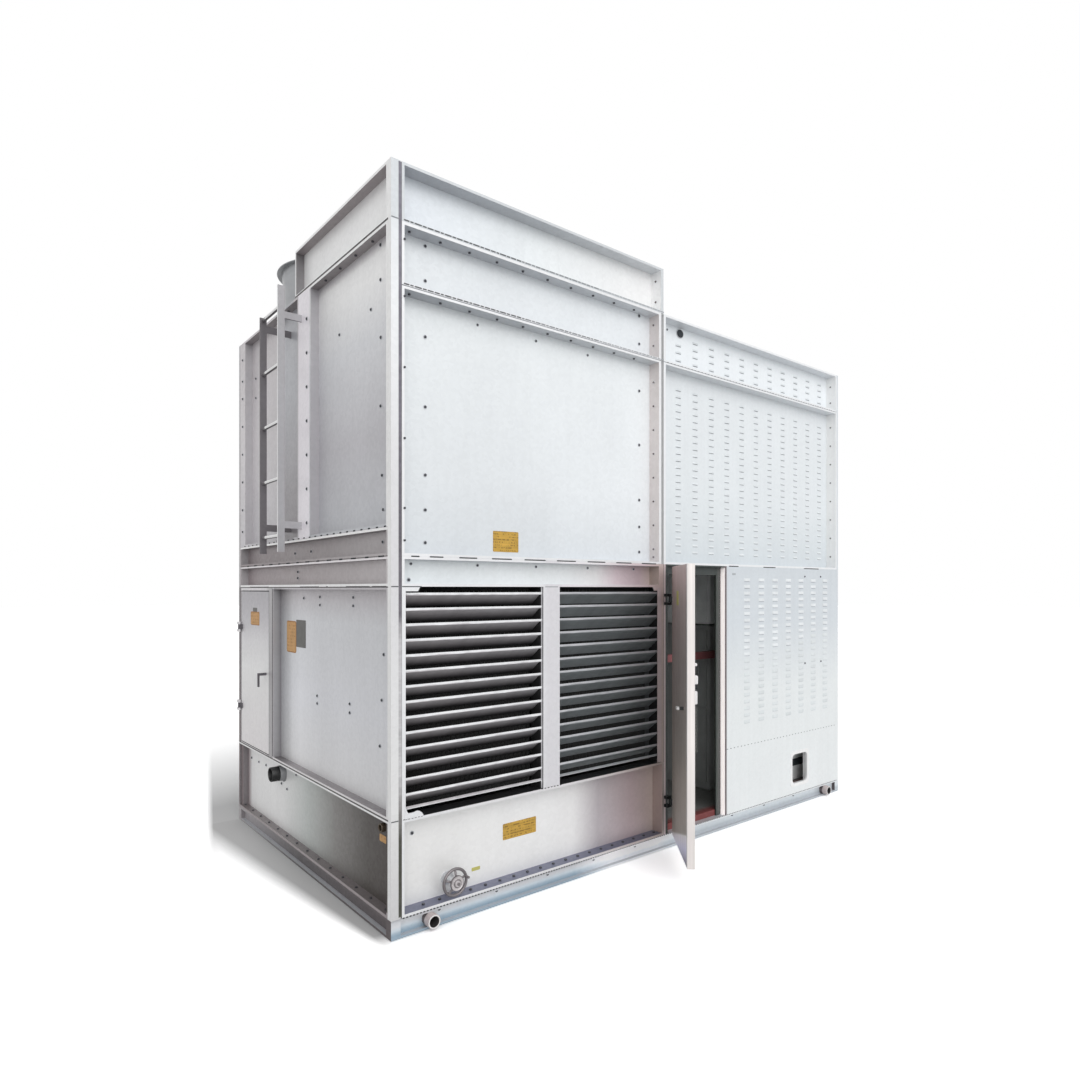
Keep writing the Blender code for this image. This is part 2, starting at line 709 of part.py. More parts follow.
def make_stack(name, x, y):
    """A flared sheet cylinder with a flange at its foot and its mouth, turned about its axis."""
    low = CASING_TOP + SEAT
    foot = STACK_THROAT + STACK_WALL
    mouth = foot + STACK_FLARE
    profile = [
        (STACK_LIP_RADIUS, STACK_TOP), (STACK_LIP_RADIUS, STACK_TOP - STACK_WALL),
        (mouth, STACK_TOP - STACK_WALL), (foot, low + STACK_WALL),
        (foot + STACK_LIP, low + STACK_WALL), (foot + STACK_LIP, low), (STACK_THROAT, low),
        (mouth - STACK_WALL, STACK_TOP),
    ]

    def section(bm):
        loop = [bm.verts.new((radius, 0, z)) for radius, z in profile]
        for index, corner in enumerate(loop):
            bm.edges.new((corner, loop[(index + 1) % len(loop)]))

    made = add_object(name, mesh_from(name, section), PARTS, GALVANISED)
    made.location = place(x, y, 0)
    turn = made.modifiers.new("turn", "SCREW")
    turn.axis = "Z"
    turn.steps = ROUND_SIDES
    turn.render_steps = ROUND_SIDES
    turn.use_merge_vertices = True
    turn.merge_threshold = WELD
    turn.use_smooth_shade = False


def make_fan(side, x, y):
    """A bevelled hub with tapered blades that lose pitch towards their tips."""
    level = CASING_TOP + FAN_LEVEL
    root = FAN_HUB_RADIUS / 2
    reach = STACK_THROAT - FAN_TIP_GAP - root

    def hub(bm):
        add_rod(bm, (x, y, level - FAN_HUB_HEIGHT / 2), (x, y, level + FAN_HUB_HEIGHT / 2),
                FAN_HUB_RADIUS)
        crown = [edge for edge in bm.edges
                 if all(vert.co.z > level for vert in edge.verts)]
        bmesh.ops.bevel(bm, geom=crown, offset=FAN_HUB_BEVEL, segments=2, affect="EDGES")

    def one_blade(bm):
        add_local_block(bm, (0, reach), (-FAN_BLADE_CHORD / 2, FAN_BLADE_CHORD / 2),
                        (-FAN_BLADE_SHEET / 2, FAN_BLADE_SHEET / 2))
        long_edges = [edge for edge in bm.edges
                      if abs(edge.verts[0].co.x - edge.verts[1].co.x) > reach / 2]
        bmesh.ops.subdivide_edges(bm, edges=long_edges, cuts=FAN_BLADE_CUTS)
        for vert in bm.verts:
            share = vert.co.x / reach
            vert.co.y *= 1 - (1 - FAN_BLADE_TAPER) * share
            pitch = Matrix.Rotation(FAN_BLADE_ANGLE - FAN_BLADE_TWIST * share, 3, "X")
            vert.co = pitch @ vert.co

    def blades(bm):
        home = Matrix.Translation(place(x, y, level))
        start = Matrix.Translation((root, 0, 0))
        turns = [Matrix.Rotation(math.tau * index / FAN_BLADE_COUNT, 4, "Z")
                 for index in range(FAN_BLADE_COUNT)]
        add_copies(bm, mesh_from("blade", one_blade), [home @ turn @ start for turn in turns])

    piece("fan_" + side, FAN_GREY, hub, add=blades, overlapping=True)


def make_drive(side, x, y, y_span):
    """A beam across the fan bay with the motor and the shaft that carries the hub."""
    shaft_top = CASING_TOP + FAN_LEVEL - FAN_HUB_HEIGHT / 2 - SEAT
    motor_top = shaft_top - FAN_SHAFT_LENGTH
    beam_top = motor_top - MOTOR_HEIGHT
    beam_low = beam_top - MOTOR_BEAM_HEIGHT

    def beam(bm):
        add_block(bm, (x - MOTOR_BEAM_WIDTH / 2, x + MOTOR_BEAM_WIDTH / 2), y_span,
                  (beam_low, beam_top))

    def motor(bm):
        add_rod(bm, (x, y, (beam_low + beam_top) / 2), (x, y, motor_top), MOTOR_RADIUS)

    def shaft(bm):
        add_rod(bm, (x, y, beam_top), (x, y, shaft_top), FAN_SHAFT_RADIUS)

    drive = piece("fan_drive_" + side, FAN_GREY, beam, add=motor)
    boolean(drive, tool("fan_shaft_" + side, shaft), "UNION")


def make_room():
    wall = ROOM_WALL
    low = RAIL_TOP + SEAT
    lower_top = HEADER_TOP - SEAT
    post = LENGTH - ROOM_POST - SEAT
    start = ROOM_START + SEAT
    upper = (HEADER_TOP, BELT_LEVEL, CASING_TOP)

    def lower(bm):
        add_block(bm, (DOORWAY_RIGHT, LENGTH), (0, wall), (low, lower_top))

    def window(bm):
        left = LENGTH - WINDOW_FROM_END
        add_block(bm, (left, left + WINDOW_WIDTH), (-CUT_PAST, wall + CUT_PAST),
                  (WINDOW_BOTTOM, WINDOW_BOTTOM + WINDOW_HEIGHT))

    piece("room_front_lower", PAINTED, lower, cut=window)
    tray("room_front_upper", PAINTED, "front", (start, post), upper, FRONT_RECESS,
         (JOINT_SLOT, LIP))

    def half_tray(name, face, along):
        """A wall that is flush below and two trays above."""

        def body(bm):
            add_block(bm, *face_block(face, along, (0, END_DEPTH), (low, CASING_TOP)))

        def hollows(bm):
            for z_span in zip(upper, upper[1:]):
                add_recess(bm, face, along, z_span, END_RECESS)
            for level in upper[:-1]:
                add_seam(bm, face, along, level)

        piece(name, PAINTED, body, cut=hollows)

    half_tray("room_end_wall", "right", (FRONT_DEPTH + SEAT, WIDTH - FRONT_DEPTH - SEAT))
    half_tray("room_back_wall", "back", (start, post))

    inner_x = (start, LENGTH - END_DEPTH - SEAT)
    back = WIDTH - END_DEPTH - SEAT
    piece("room_roof", PAINTED,
          lambda bm: add_block(bm, inner_x, (FRONT_DEPTH + SEAT, back),
                               (CASING_TOP - wall, CASING_TOP)))
    piece("room_floor", RED_FLOOR,
          lambda bm: add_block(bm, inner_x, (DOOR_FRAME_DEPTH + SEAT, back), (low, low + wall)))
    piece("room_cross_bar", RED_STEEL,
          lambda bm: add_block(bm, inner_x, (CROSS_BAR_DEPTH, CROSS_BAR_DEPTH + CROSS_BAR_SIZE),
                               (CROSS_BAR_LEVEL, CROSS_BAR_LEVEL + CROSS_BAR_SIZE)))
    make_door_frame(start, low, lower_top)


def make_door_frame(start, low, top):
    """The left jamb, the head and the stop that the leaf shuts against."""
    depth = DOOR_FRAME_DEPTH
    head = top - DOOR_HEAD

    def body(bm):
        add_block(bm, (start, DOORWAY_RIGHT - SEAT), (0, depth), (low, top))

    def leaf_space(bm):
        add_block(bm, (DOORWAY_LEFT, DOORWAY_RIGHT + CUT_PAST), (-CUT_PAST, DOOR_STOP_FRONT),
                  (low - CUT_PAST, head))

    def walk_through(bm):
        add_block(bm, (DOORWAY_LEFT, DOORWAY_RIGHT - DOOR_STOP), (-CUT_PAST, depth + CUT_PAST),
                  (low - CUT_PAST, head - DOOR_STOP))

    frame = piece("door_jamb", PAINTED, body, cut=leaf_space)
    boolean(frame, tool("door_jamb_walk_through", walk_through), "DIFFERENCE")


def hinge_levels(low, high, inset):
    return (low + inset, high - inset)


def hinge_ears(level):
    """The heights of the two fixed ears, above and below the moving knuckle."""
    inner = HINGE_HEIGHT / 4 + SEAT
    outer = HINGE_HEIGHT / 2
    return ((level - outer, level - inner), (level + inner, level + outer))


def fixed_hinge(name, spot, level, ear_plate):
    """Two ears and the pin between them; ear_plate joins an ear to what carries it."""

    def pin(bm):
        add_rod(bm, (*spot, level - HINGE_PIN_REACH), (*spot, level + HINGE_PIN_REACH),
                HINGE_PIN_RADIUS)

    def ears(bm):
        for near, far in hinge_ears(level):
            add_rod(bm, (*spot, near), (*spot, far), HINGE_KNUCKLE_RADIUS)
            ear_plate(bm, (near, far))

    piece(name, BLACK_STEEL, pin, add=ears, overlapping=True)


def make_room_door():
    """The leaf is drawn shut round its hinge pin and then swung open by its empty."""
    low = RAIL_TOP + SEAT + RUNNING_GAP
    high = HEADER_TOP - SEAT - DOOR_HEAD - RUNNING_GAP
    near = RUNNING_GAP
    far = DOORWAY_WIDTH - RUNNING_GAP
    outer = HINGE_PROUD - DOOR_PROUD
    inner = outer + DOOR_THICKNESS
    half = HINGE_HEIGHT / 4
    levels = hinge_levels(low, high, HINGE_INSET)
    pivot = bpy.data.objects.new("room_door_pivot", None)
    PARTS.objects.link(pivot)
    pivot.location = place(DOORWAY_LEFT, -HINGE_PROUD, 0)
    pivot.rotation_euler = (0, 0, -DOOR_OPEN_ANGLE)

    def tube(bm, radius, z_span):
        bmesh.ops.create_cone(bm, cap_ends=True, segments=ROD_SIDES, radius1=radius, radius2=radius,
                              depth=z_span[1] - z_span[0],
                              matrix=Matrix.Translation((0, 0, sum(z_span) / 2)))

    def leaf(bm):
        add_local_block(bm, (near, far), (outer, inner), (low, high))

    def pan(bm):
        """The leaf is a pan, open towards the room."""
        add_local_block(bm, (near + DOOR_RIM, far - DOOR_RIM), (outer + DOOR_SHEET, inner + CUT_PAST),
                        (low + DOOR_RIM, high - DOOR_RIM))

    def knuckles(bm):
        for level in levels:
            z_span = (level - half, level + half)
            tube(bm, HINGE_KNUCKLE_RADIUS, z_span)
            add_local_block(bm, (HINGE_PIN_RADIUS / 2, HINGE_PLATE_WIDTH), (0, outer + HINGE_PLATE),
                            z_span)

    def bores(bm):
        for level in levels:
            tube(bm, HINGE_BORE_RADIUS, (level - HINGE_HEIGHT, level + HINGE_HEIGHT))

    def knob(bm):
        x = far - KNOB_INSET
        z = KNOB_LEVEL
        half_size = KNOB_HALF_SIZE
        grip = (outer - KNOB_PROUD - KNOB_GRIP, outer - KNOB_PROUD)
        add_local_block(bm, (x - half_size, x + half_size),
                        (grip[0] + KNOB_GRIP / 2, outer + HINGE_PLATE),
                        (z - half_size, z + half_size))
        add_local_block(bm, (x - KNOB_REACH, x + half_size), grip, (z - half_size, z + half_size))

    door = piece("room_door", PAINTED, leaf, cut=pan)
    boolean(door, tool("room_door_knuckles", knuckles), "UNION", True)
    boolean(door, tool("room_door_knob", knob), "UNION", True)
    boolean(door, tool("room_door_bores", bores), "DIFFERENCE")
    door.parent = pivot
    for step in door.modifiers:
        step.object.parent = pivot

    def ear_plate(bm, z_span):
        add_block(bm, (DOORWAY_LEFT - HINGE_PLATE_WIDTH, DOORWAY_LEFT - HINGE_PIN_RADIUS / 2),
                  (-HINGE_PROUD - HINGE_PIN_RADIUS, -SEAT), z_span)

    for name, level in zip(("room_door_hinge_lower", "room_door_hinge_upper"), levels):
        fixed_hinge(name, (DOORWAY_LEFT, -HINGE_PROUD), level, ear_plate)


def make_access_door():
    """Shut in the photographed pose; its pins stand proud of the end face at the back."""
    low = BASIN_TOP + ACCESS_DOORWAY_LOW + RUNNING_GAP
    high = LOUVRE_TOP - ACCESS_DOORWAY_HEAD - RUNNING_GAP
    pin = (-ACCESS_HINGE_PROUD, ACCESS_DOORWAY_RIGHT)
    levels = hinge_levels(low, high, ACCESS_HINGE_INSET)
    half = HINGE_HEIGHT / 4
    near = ACCESS_DOORWAY_LEFT + RUNNING_GAP
    far = ACCESS_DOORWAY_RIGHT - RUNNING_GAP

    def leaf(bm):
        add_block(bm, (0, ACCESS_DOOR_THICKNESS), (near, far), (low, high))

    def knuckles(bm):
        for level in levels:
            z_span = (level - half, level + half)
            add_rod(bm, (*pin, z_span[0]), (*pin, z_span[1]), HINGE_KNUCKLE_RADIUS)
            add_block(bm, (pin[0], HINGE_PLATE),
                      (pin[1] - HINGE_PLATE_WIDTH, pin[1] - HINGE_PIN_RADIUS / 2), z_span)

    def bores(bm):
        for level in levels:
            add_rod(bm, (*pin, level - HINGE_HEIGHT), (*pin, level + HINGE_HEIGHT),
                    HINGE_BORE_RADIUS)

    def lever(bm):
        y = near + LEVER_INSET
        z = LEVER_LEVEL
        half_size = LEVER_HALF_SIZE
        grip = (-LEVER_PROUD - LEVER_GRIP, -LEVER_PROUD)
        add_block(bm, (grip[0] + LEVER_GRIP / 2, HINGE_PLATE), (y - half_size, y + half_size),
                  (z - half_size, z + half_size))
        add_block(bm, grip, (y - half_size, y + half_size), (z - LEVER_DROP, z + half_size))

    door = piece("access_door", GALVANISED, leaf, add=knuckles, overlapping=True)
    boolean(door, tool("access_door_lever", lever), "UNION", True)
    boolean(door, tool("access_door_bores", bores), "DIFFERENCE")

    def ear_plate(bm, z_span):
        add_block(bm, (pin[0] - HINGE_PIN_RADIUS, -SEAT),
                  (pin[1] + HINGE_PIN_RADIUS / 2, pin[1] + HINGE_PLATE_WIDTH), z_span)

    for name, level in zip(("access_door_hinge_lower", "access_door_hinge_upper"), levels):
        fixed_hinge(name, pin, level, ear_plate)


def make_ladder():
    """Two flat stringers with round rungs, held off the end wall by four brackets."""
    face = -LADDER_STANDOFF
    near = STIFFENER_END - LADDER_OVERLAP
    rails = ((near, LADDER_TOP), (near + LADDER_WIDTH - LADDER_SHEET, LADDER_FAR_TOP))
    first_rung = LADDER_BOTTOM + FIRST_RUNG_RISE
    rung_count = int((LADDER_FAR_TOP - first_rung) / RUNG_PITCH) + 1

    def stringers(bm):
        for y, top in rails:
            add_block(bm, (face - LADDER_RAIL, face), (y, y + LADDER_SHEET), (LADDER_BOTTOM, top))

    def rungs_and_brackets(bm):
        middle = face - LADDER_RAIL / 2
        ends = [y + LADDER_SHEET / 2 for y, _ in rails]
        for index in range(rung_count):
            z = first_rung + index * RUNG_PITCH
            add_rod(bm, (middle, ends[0], z), (middle, ends[1], z), RUNG_RADIUS, RUNG_SIDES)
        for y, _ in rails:
            seat = 0 if y + LADDER_SHEET < STIFFENER_END else END_RECESS
            for level in (LADDER_BOTTOM + FOOT_BRACKET_RISE, LADDER_FAR_TOP - HEAD_BRACKET_DROP):
                add_block(bm, (face - LADDER_SHEET, seat - SEAT), (y, y + LADDER_SHEET),
                          (level, level + LADDER_RAIL))

    piece("ladder", GALVANISED, stringers, add=rungs_and_brackets, overlapping=True)


def make_valve():
    x = HANDWHEEL_X
    z = HANDWHEEL_Z
    hub_back = HANDWHEEL_Y + HANDWHEEL_HUB_DEPTH / 2
    seat = FRONT_RECESS - SEAT

    def flange(bm):
        add_rod(bm, (x, seat, z), (x, seat - VALVE_FLANGE_DEPTH, z), VALVE_FLANGE_RADIUS)

    def stem(bm):
        add_rod(bm, (x, seat - VALVE_FLANGE_DEPTH / 2, z), (x, hub_back + SEAT, z),
                VALVE_STEM_RADIUS)

    piece("valve_body", BRASS, flange, add=stem)

    bpy.ops.mesh.primitive_torus_add(major_radius=HANDWHEEL_RADIUS - HANDWHEEL_TUBE,
                                     minor_radius=HANDWHEEL_TUBE, major_segments=ROUND_SIDES,
                                     minor_segments=8)
    wheel = bpy.context.object
    wheel.name = "handwheel"
    for group in list(wheel.users_collection):
        group.objects.unlink(wheel)
    PARTS.objects.link(wheel)
    wheel.data.materials.append(GREY_STEEL)
    wheel.location = place(x, HANDWHEEL_Y, z)
    wheel.rotation_euler = (math.radians(90), 0, 0)

    def hub_and_spokes(bm):
        add_rod(bm, (x, hub_back, z), (x, hub_back - HANDWHEEL_HUB_DEPTH, z), HANDWHEEL_HUB_RADIUS)
        reach = HANDWHEEL_RADIUS - HANDWHEEL_TUBE
        for index in range(HANDWHEEL_SPOKES):
            turn = math.tau * index / HANDWHEEL_SPOKES
            add_rod(bm, (x, HANDWHEEL_Y, z),
                    (x + reach * math.cos(turn), HANDWHEEL_Y, z + reach * math.sin(turn)),
                    HANDWHEEL_SPOKE_RADIUS, 6)

    boolean(wheel, tool("handwheel_hub", hub_and_spokes), "UNION", True)


def make_stub(name, y, z, radius, length, finish):
    """A short pipe end that stands out from the recessed sheet of the basin's end."""
    start = END_RECESS - SEAT

    def body(bm):
        add_rod(bm, (start, y, z), (start - length, y, z), radius)

    def bore(bm):
        add_rod(bm, (start - STUB_BORE_START, y, z), (start - length - CUT_PAST, y, z),
                radius - STUB_WALL)

    piece(name, finish, body, cut=bore)


clear_scene()
PARTS = collection(COLLECTION)
TOOLS = collection("cutters")
GALVANISED = material("galvanised_sheet", (0.72, 0.74, 0.76), 0.38, 0.55)
PAINTED = material("pale_sheet", (0.78, 0.81, 0.84), 0.42, 0.25)
DARK_SHEET = material("dark_sheet", (0.10, 0.10, 0.10), 0.55, 0.30)
BLACK_PLASTIC = material("black_plastic", (0.02, 0.02, 0.02), 0.45, 0.0)
BLACK_STEEL = material("black_steel", (0.03, 0.03, 0.03), 0.40, 0.60)
GREY_STEEL = material("grey_steel", (0.45, 0.45, 0.46), 0.35, 0.90)
FAN_GREY = material("fan_grey", (0.25, 0.27, 0.29), 0.50, 0.30)
BRASS = material("worn_brass", (0.55, 0.45, 0.28), 0.40, 0.90)
RED_FLOOR = material("red_floor", (0.30, 0.08, 0.07), 0.60, 0.0)
RED_STEEL = material("red_steel", (0.32, 0.09, 0.08), 0.45, 0.0)

make_base_frame()
make_basin()
make_posts()
make_front_lower()
make_tower_walls()
make_inner_walls()
make_rim()
make_coil()
make_fans()
make_room()
make_room_door()
make_access_door()
make_ladder()
make_valve()
make_stub("overflow_stub", OVERFLOW_Y, OVERFLOW_Z, OVERFLOW_RADIUS, OVERFLOW_LENGTH, BLACK_PLASTIC)
make_stub("drain_stub", DRAIN_Y, DRAIN_Z, DRAIN_RADIUS, DRAIN_LENGTH, BRASS)
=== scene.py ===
import bpy, bmesh, math
from mathutils import Matrix, Vector


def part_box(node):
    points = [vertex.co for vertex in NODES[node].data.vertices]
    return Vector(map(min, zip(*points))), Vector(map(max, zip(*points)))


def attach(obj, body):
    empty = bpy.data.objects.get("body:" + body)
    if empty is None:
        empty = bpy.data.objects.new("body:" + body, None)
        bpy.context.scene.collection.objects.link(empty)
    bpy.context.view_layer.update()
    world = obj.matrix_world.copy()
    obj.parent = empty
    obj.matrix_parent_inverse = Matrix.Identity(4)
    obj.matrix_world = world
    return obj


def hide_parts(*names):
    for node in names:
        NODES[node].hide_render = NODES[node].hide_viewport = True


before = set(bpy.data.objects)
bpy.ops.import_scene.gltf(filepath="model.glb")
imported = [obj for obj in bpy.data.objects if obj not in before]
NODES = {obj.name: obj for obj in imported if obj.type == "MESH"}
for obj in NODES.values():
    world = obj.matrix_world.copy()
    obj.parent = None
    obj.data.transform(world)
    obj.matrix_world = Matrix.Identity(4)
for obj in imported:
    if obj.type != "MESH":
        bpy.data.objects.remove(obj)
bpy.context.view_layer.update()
CORNER = Vector((-2.0, -1.16, 0.0))

# Levels and planes of the plant in metres, measured from its near left ground corner
RAIL, BASIN, LOUVRE, HEADER, BAND, BELT, CASING = 0.0915, 0.553, 1.651, 1.795, 1.933, 3.070, 3.370
FRONT, END = 0.080, 0.050    # depth of the casings behind the flanges' edges
LIP = 0.04                   # nearer the front than this is a flange's edge
END_LIP = (-0.01, 0.004)     # across the flanges' edges on the end face
POST = (-0.01, 0.056)        # across the near corner post
SIDES = {"front": (0, -1, 0), "back": (0, 1, 0), "left": (-1, 0, 0), "right": (1, 0, 0), "up": (0, 0, 1),
    "down": (0, 0, -1)}

FACE, LEFT, BACK, UP, DOWN = (SIDES[side] for side in ("front", "left", "back", "up", "down"))


def at(x, y, z):
    return Vector((x, y, z)) + CORNER


def lin(text, share=1.0):
    """A hex colour as linear values, divided by how strongly that side is lit."""
    out = []
    for i in (1, 3, 5):
        v = int(text[i:i + 2], 16) / 255
        v = v / 12.92 if v <= 0.04045 else ((v + 0.055) / 1.055) ** 2.4
        out.append(min(0.93, v / share))
    return (*out, 1.0)


# --- Materials
class Graph:
    """A small helper round a material's node tree."""

    def __init__(self, name):
        self.material = bpy.data.materials.new(name)
        self.material.use_nodes = True
        self.tree = self.material.node_tree
        self.shader = self.tree.nodes["Principled BSDF"]
        coords = self.tree.nodes.new("ShaderNodeTexCoord")
        self.position = coords.outputs["Object"]
        self.normal = coords.outputs["Normal"]

    def feed(self, socket, value):
        """Link a socket to what gives its value, or set it."""
        if isinstance(value, bpy.types.NodeSocket):
            self.tree.links.new(value, socket)
        else:
            socket.default_value = value

    def node(self, kind, **inputs):
        """A new node; _0, _1 and so on name its inputs by number."""
        made = self.tree.nodes.new(kind)
        for key, value in inputs.items():
            self.feed(made.inputs[int(key[1:]) if key[0] == "_" else key], value)
        return made

    def math(self, operation, a, b=0.0):
        made = self.node("ShaderNodeMath", _0=a, _1=b)
        made.operation = operation
        return made.outputs[0]

    def times(self, first, *others):
        for other in others:
            first = self.math("MULTIPLY", first, other)
        return first

    def axis(self, which, vector=None):
        split = self.node("ShaderNodeSeparateXYZ", Vector=vector or self.position)
        return split.outputs["xyz".index(which)]

    def along(self, which):
        """Metres from the plant's corner along one axis."""
        return self.math("SUBTRACT", self.axis(which), CORNER["xyz".index(which)])

    def range(self, value, low, high, out_low=0.0, out_high=1.0):
        made = self.node("ShaderNodeMapRange", _0=value, _1=low, _2=high, _3=out_low, _4=out_high)
        made.clamp = True
        return made.outputs[0]

    def ramp(self, value, stops):
        """stops holds (place in metres, "#hex" or linear values), with a share after a hex colour."""
        low, high = stops[0][0], stops[-1][0]
        made = self.node("ShaderNodeValToRGB", Fac=self.range(value, low, high))
        points = made.color_ramp.elements
        while len(points) < len(stops):
            points.new(0.5)
        for point, stop in zip(points, stops):
            point.position = (stop[0] - low) / (high - low)
        for point, (_, colour, *share) in zip(points, stops):
            point.color = lin(colour, *share) if isinstance(colour, str) else colour
        return made.outputs["Color"]

    def mix(self, share, a, b, kind="MIX"):
        made = self.tree.nodes.new("ShaderNodeMix")
        made.data_type = "RGBA"
        made.blend_type = kind
        for index, value in ((0, share), (6, a), (7, b)):
            self.feed(made.inputs[index], value)
        return made.outputs[2]

    def noise(self, scale, detail=3.0, stretch=(1, 1, 1), rough=0.5):
        mapped = self.node("ShaderNodeMapping", Vector=self.position, Scale=stretch)
        made = self.node("ShaderNodeTexNoise", Vector=mapped.outputs[0], Scale=scale, Detail=detail,
                         Roughness=rough)
        return made.outputs["Fac"]

    def vary(self, low, high, *noise):
        """Values that drift between two bounds, by noise of a scale, detail and stretch."""
        return self.range(self.noise(*noise), 0.3, 0.7, low, high)

    def dot(self, a, b):
        made = self.node("ShaderNodeVectorMath", _0=a, _1=b)
        made.operation = "DOT_PRODUCT"
        return made.outputs["Value"]

    def facing(self, vector, low=0.45, high=0.55):
        return self.range(self.dot(self.normal, vector), low, high)

    def set(self, key, value):
        self.feed(self.shader.inputs[key], value)

    def paint(self, tone, *shares):
        """Set the base colour to a tone times some shares."""
        product = self.times(*shares)
        grey = self.node("ShaderNodeCombineXYZ", X=product, Y=product, Z=product).outputs[0]
        self.set("Base Color", self.mix(1.0, tone, grey, "MULTIPLY"))

    def bump(self, height, strength, distance):
        made = self.node("ShaderNodeBump", Height=height, Strength=strength, Distance=distance)
        self.set("Normal", made.outputs[0])


def zone(g, side, limits, soft=0.0008):
    """One on faces that look to a side and lie between limits along the plant's axes."""
    share = g.facing(SIDES[side]) if side else 1.0
    for axis, (low, high) in limits.items():
        value = g.along(axis)
        rise = g.range(value, low - soft, low + soft)
        fall = g.range(value, high - soft, high + soft, 1.0, 0.0)
        share = g.times(share, rise, fall)
    return share


def colour_of(g, value):
    """A ramp from (axis, stop, stop, ...), or a colour from "#hex", ("#hex", share) or values."""
    if isinstance(value, str):
        return lin(value)
    if value[0] in ("x", "y", "z"):
        return g.ramp(g.along(value[0]), value[1:])
    return lin(*value) if isinstance(value[0], str) else value


def shaded(g, tone, rows):
    """A tone darkened or lightened along axes as painted light and shade; a row is (axis, (place, share), ...)."""
    for axis, *stops in rows:
        grey = g.ramp(g.along(axis), [(place, (share, share, share, 1)) for place, share in stops])
        tone = g.mix(1.0, tone, grey, "MULTIPLY")
    return tone


def sheet(name, base, sides=None, shades=(), lips=(), after=(), zones=(), rough=0.42, metal=0.25,
          spangle=0.03, cloud=0.05, streak=0.015, bump=0.12):
    """Zinc coated sheet: a colour per side it faces, with painted light and shade; soft stains, streaks and spangle."""
    g = Graph(name)
    tone = shaded(g, colour_of(g, base), shades)
    for axis, limit, value in lips:
        edge = g.range(g.along(axis), limit, limit + 0.002, 1.0, 0.0)
        tone = g.mix(edge, tone, colour_of(g, value))
    for side, value in (sides or {}).items():
        tone = g.mix(g.facing(SIDES[side]), tone, colour_of(g, value))
    tone = shaded(g, tone, after)
    for side, limits, value, *soft in zones:
        tone = g.mix(zone(g, side, limits, *soft), tone, colour_of(g, value))
    # stains, streaks that run down, and the zinc's crystals
    stain = g.vary(1 - cloud, 1 + cloud * 0.5, 1.7, 4.0, (1, 1, 0.7), 0.6)
    run = g.vary(1 - streak, 1 + streak * 0.4, 26.0, 2.0, (1, 1, 0.04))
    cells = g.node("ShaderNodeTexVoronoi", Vector=g.position, Scale=58.0)
    dull, clear = 1 - spangle, 1 + spangle * 0.5
    crystal = g.range(g.axis("x", cells.outputs["Color"]), 0, 1, dull, clear)
    g.paint(tone, stain, run, crystal)
    g.set("Roughness", g.range(crystal, dull, 1 + spangle * 0.5, rough + 0.06, rough - 0.06))
    g.set("Metallic", metal)
    g.bump(g.noise(2.6, 2.0), bump, 0.01)
    return g.material


def plain(name, colour, rough=0.45, metal=0.0):
    """A painted, moulded or bare part: fine grain, a little wear and uneven gloss."""
    g = Graph(name)
    fine = g.noise(140.0, 2.0)
    g.paint(colour_of(g, colour), g.vary(0.90, 1.04, 9.0, 4.0), g.range(fine, 0.3, 0.7, 0.97, 1.02))
    g.set("Roughness", g.vary(rough - 0.06, rough + 0.08, 22.0))
    g.set("Metallic", metal)
    g.bump(fine, 0.15, 0.0008)
    return g.material


def assign(material, *names):
    for name in names:
        for slot in NODES[name].material_slots:
            slot.material = material


E = 0.60        # how strongly the end face is lit, against the front
# painted shade: faces inside the casings, the same sheet as outside, are coloured dark
INSIDE_SHADE = "#3A3C3B"
ROOM_IN = "#D2D6D4"
EDGE = "#EDEEF0"
# painted highlight along the edges of the flanges on the end face
END_EDGE_HIGHLIGHT = ("#E2E0E1", 0.72)
# painted shade on the undersides of the flanges, lighter towards the right end
UNDERSIDE_SHADE = ("x", (0.06, "#9DA0A5", 0.77), (0.9, "#ABAEB2", 0.77), (1.85, "#BEC1C4", 0.77), (3.9, "#C9CCCF", 0.77))
# painted light and shade for each side of the front casings
front_side_shading = {"up": "#D8DADF", "down": UNDERSIDE_SHADE, "left": ("#C9C3C2", 0.75), "right": "#D9DCDF", "back": INSIDE_SHADE}
# painted light and shade for each side of the end casings
end_side_shading = {"up": "#A29D9F", "down": "#958F91", "front": "#B5B2B4", "back": "#B4B0B2", "right": INSIDE_SHADE}

# tower casing: painted light that grows towards the right end, on top of each side's painted light and shade
casing = sheet("tower_casing",
    ("z", (1.80, "#DEE3E7"), (2.2, "#E6EAED"), (3.08, "#E6EAEC"), (3.10, "#E4E8EB")),
    dict(front_side_shading, left=("#C9C2C0", 0.80)),
    shades=[("x", (0.06, 0.955), (0.7, 1.0), (1.45, 1.06), (1.72, 1.12), (1.86, 1.16))],
    lips=[("y", LIP, EDGE)])
assign(casing, "tower_front_panel")
# inlet rim: painted light that grows towards the right end; painted shade on the returns and under the flange at the
# end, and a painted highlight on the end flange's edge
rim = sheet("rim_casing", ("x", (0.0, "#DDE2E8", 1.02), (0.9, "#E0E4E6", 0.885), (1.8, "#E6EAED", 0.83)),
    {"up": "#E3E6E8", "down": UNDERSIDE_SHADE, "left": ("#CBCACA", 0.57), "right": "#DDE0E3", "back": "#C8CBCE"},
    lips=[("y", LIP, "#D3D7DA")],
    zones=[("front", {"x": POST, "y": (0.3, 1.3)}, ("z", (3.37, "#8C898B"), (3.65, "#7B787A"))),
        ("down", {"x": POST, "y": (0.03, 1.3)}, "#9A9294"),
        ("left", {"x": END_LIP, "z": (3.3755, 3.386)}, END_EDGE_HIGHLIGHT)])
assign(rim, "inlet_rim")
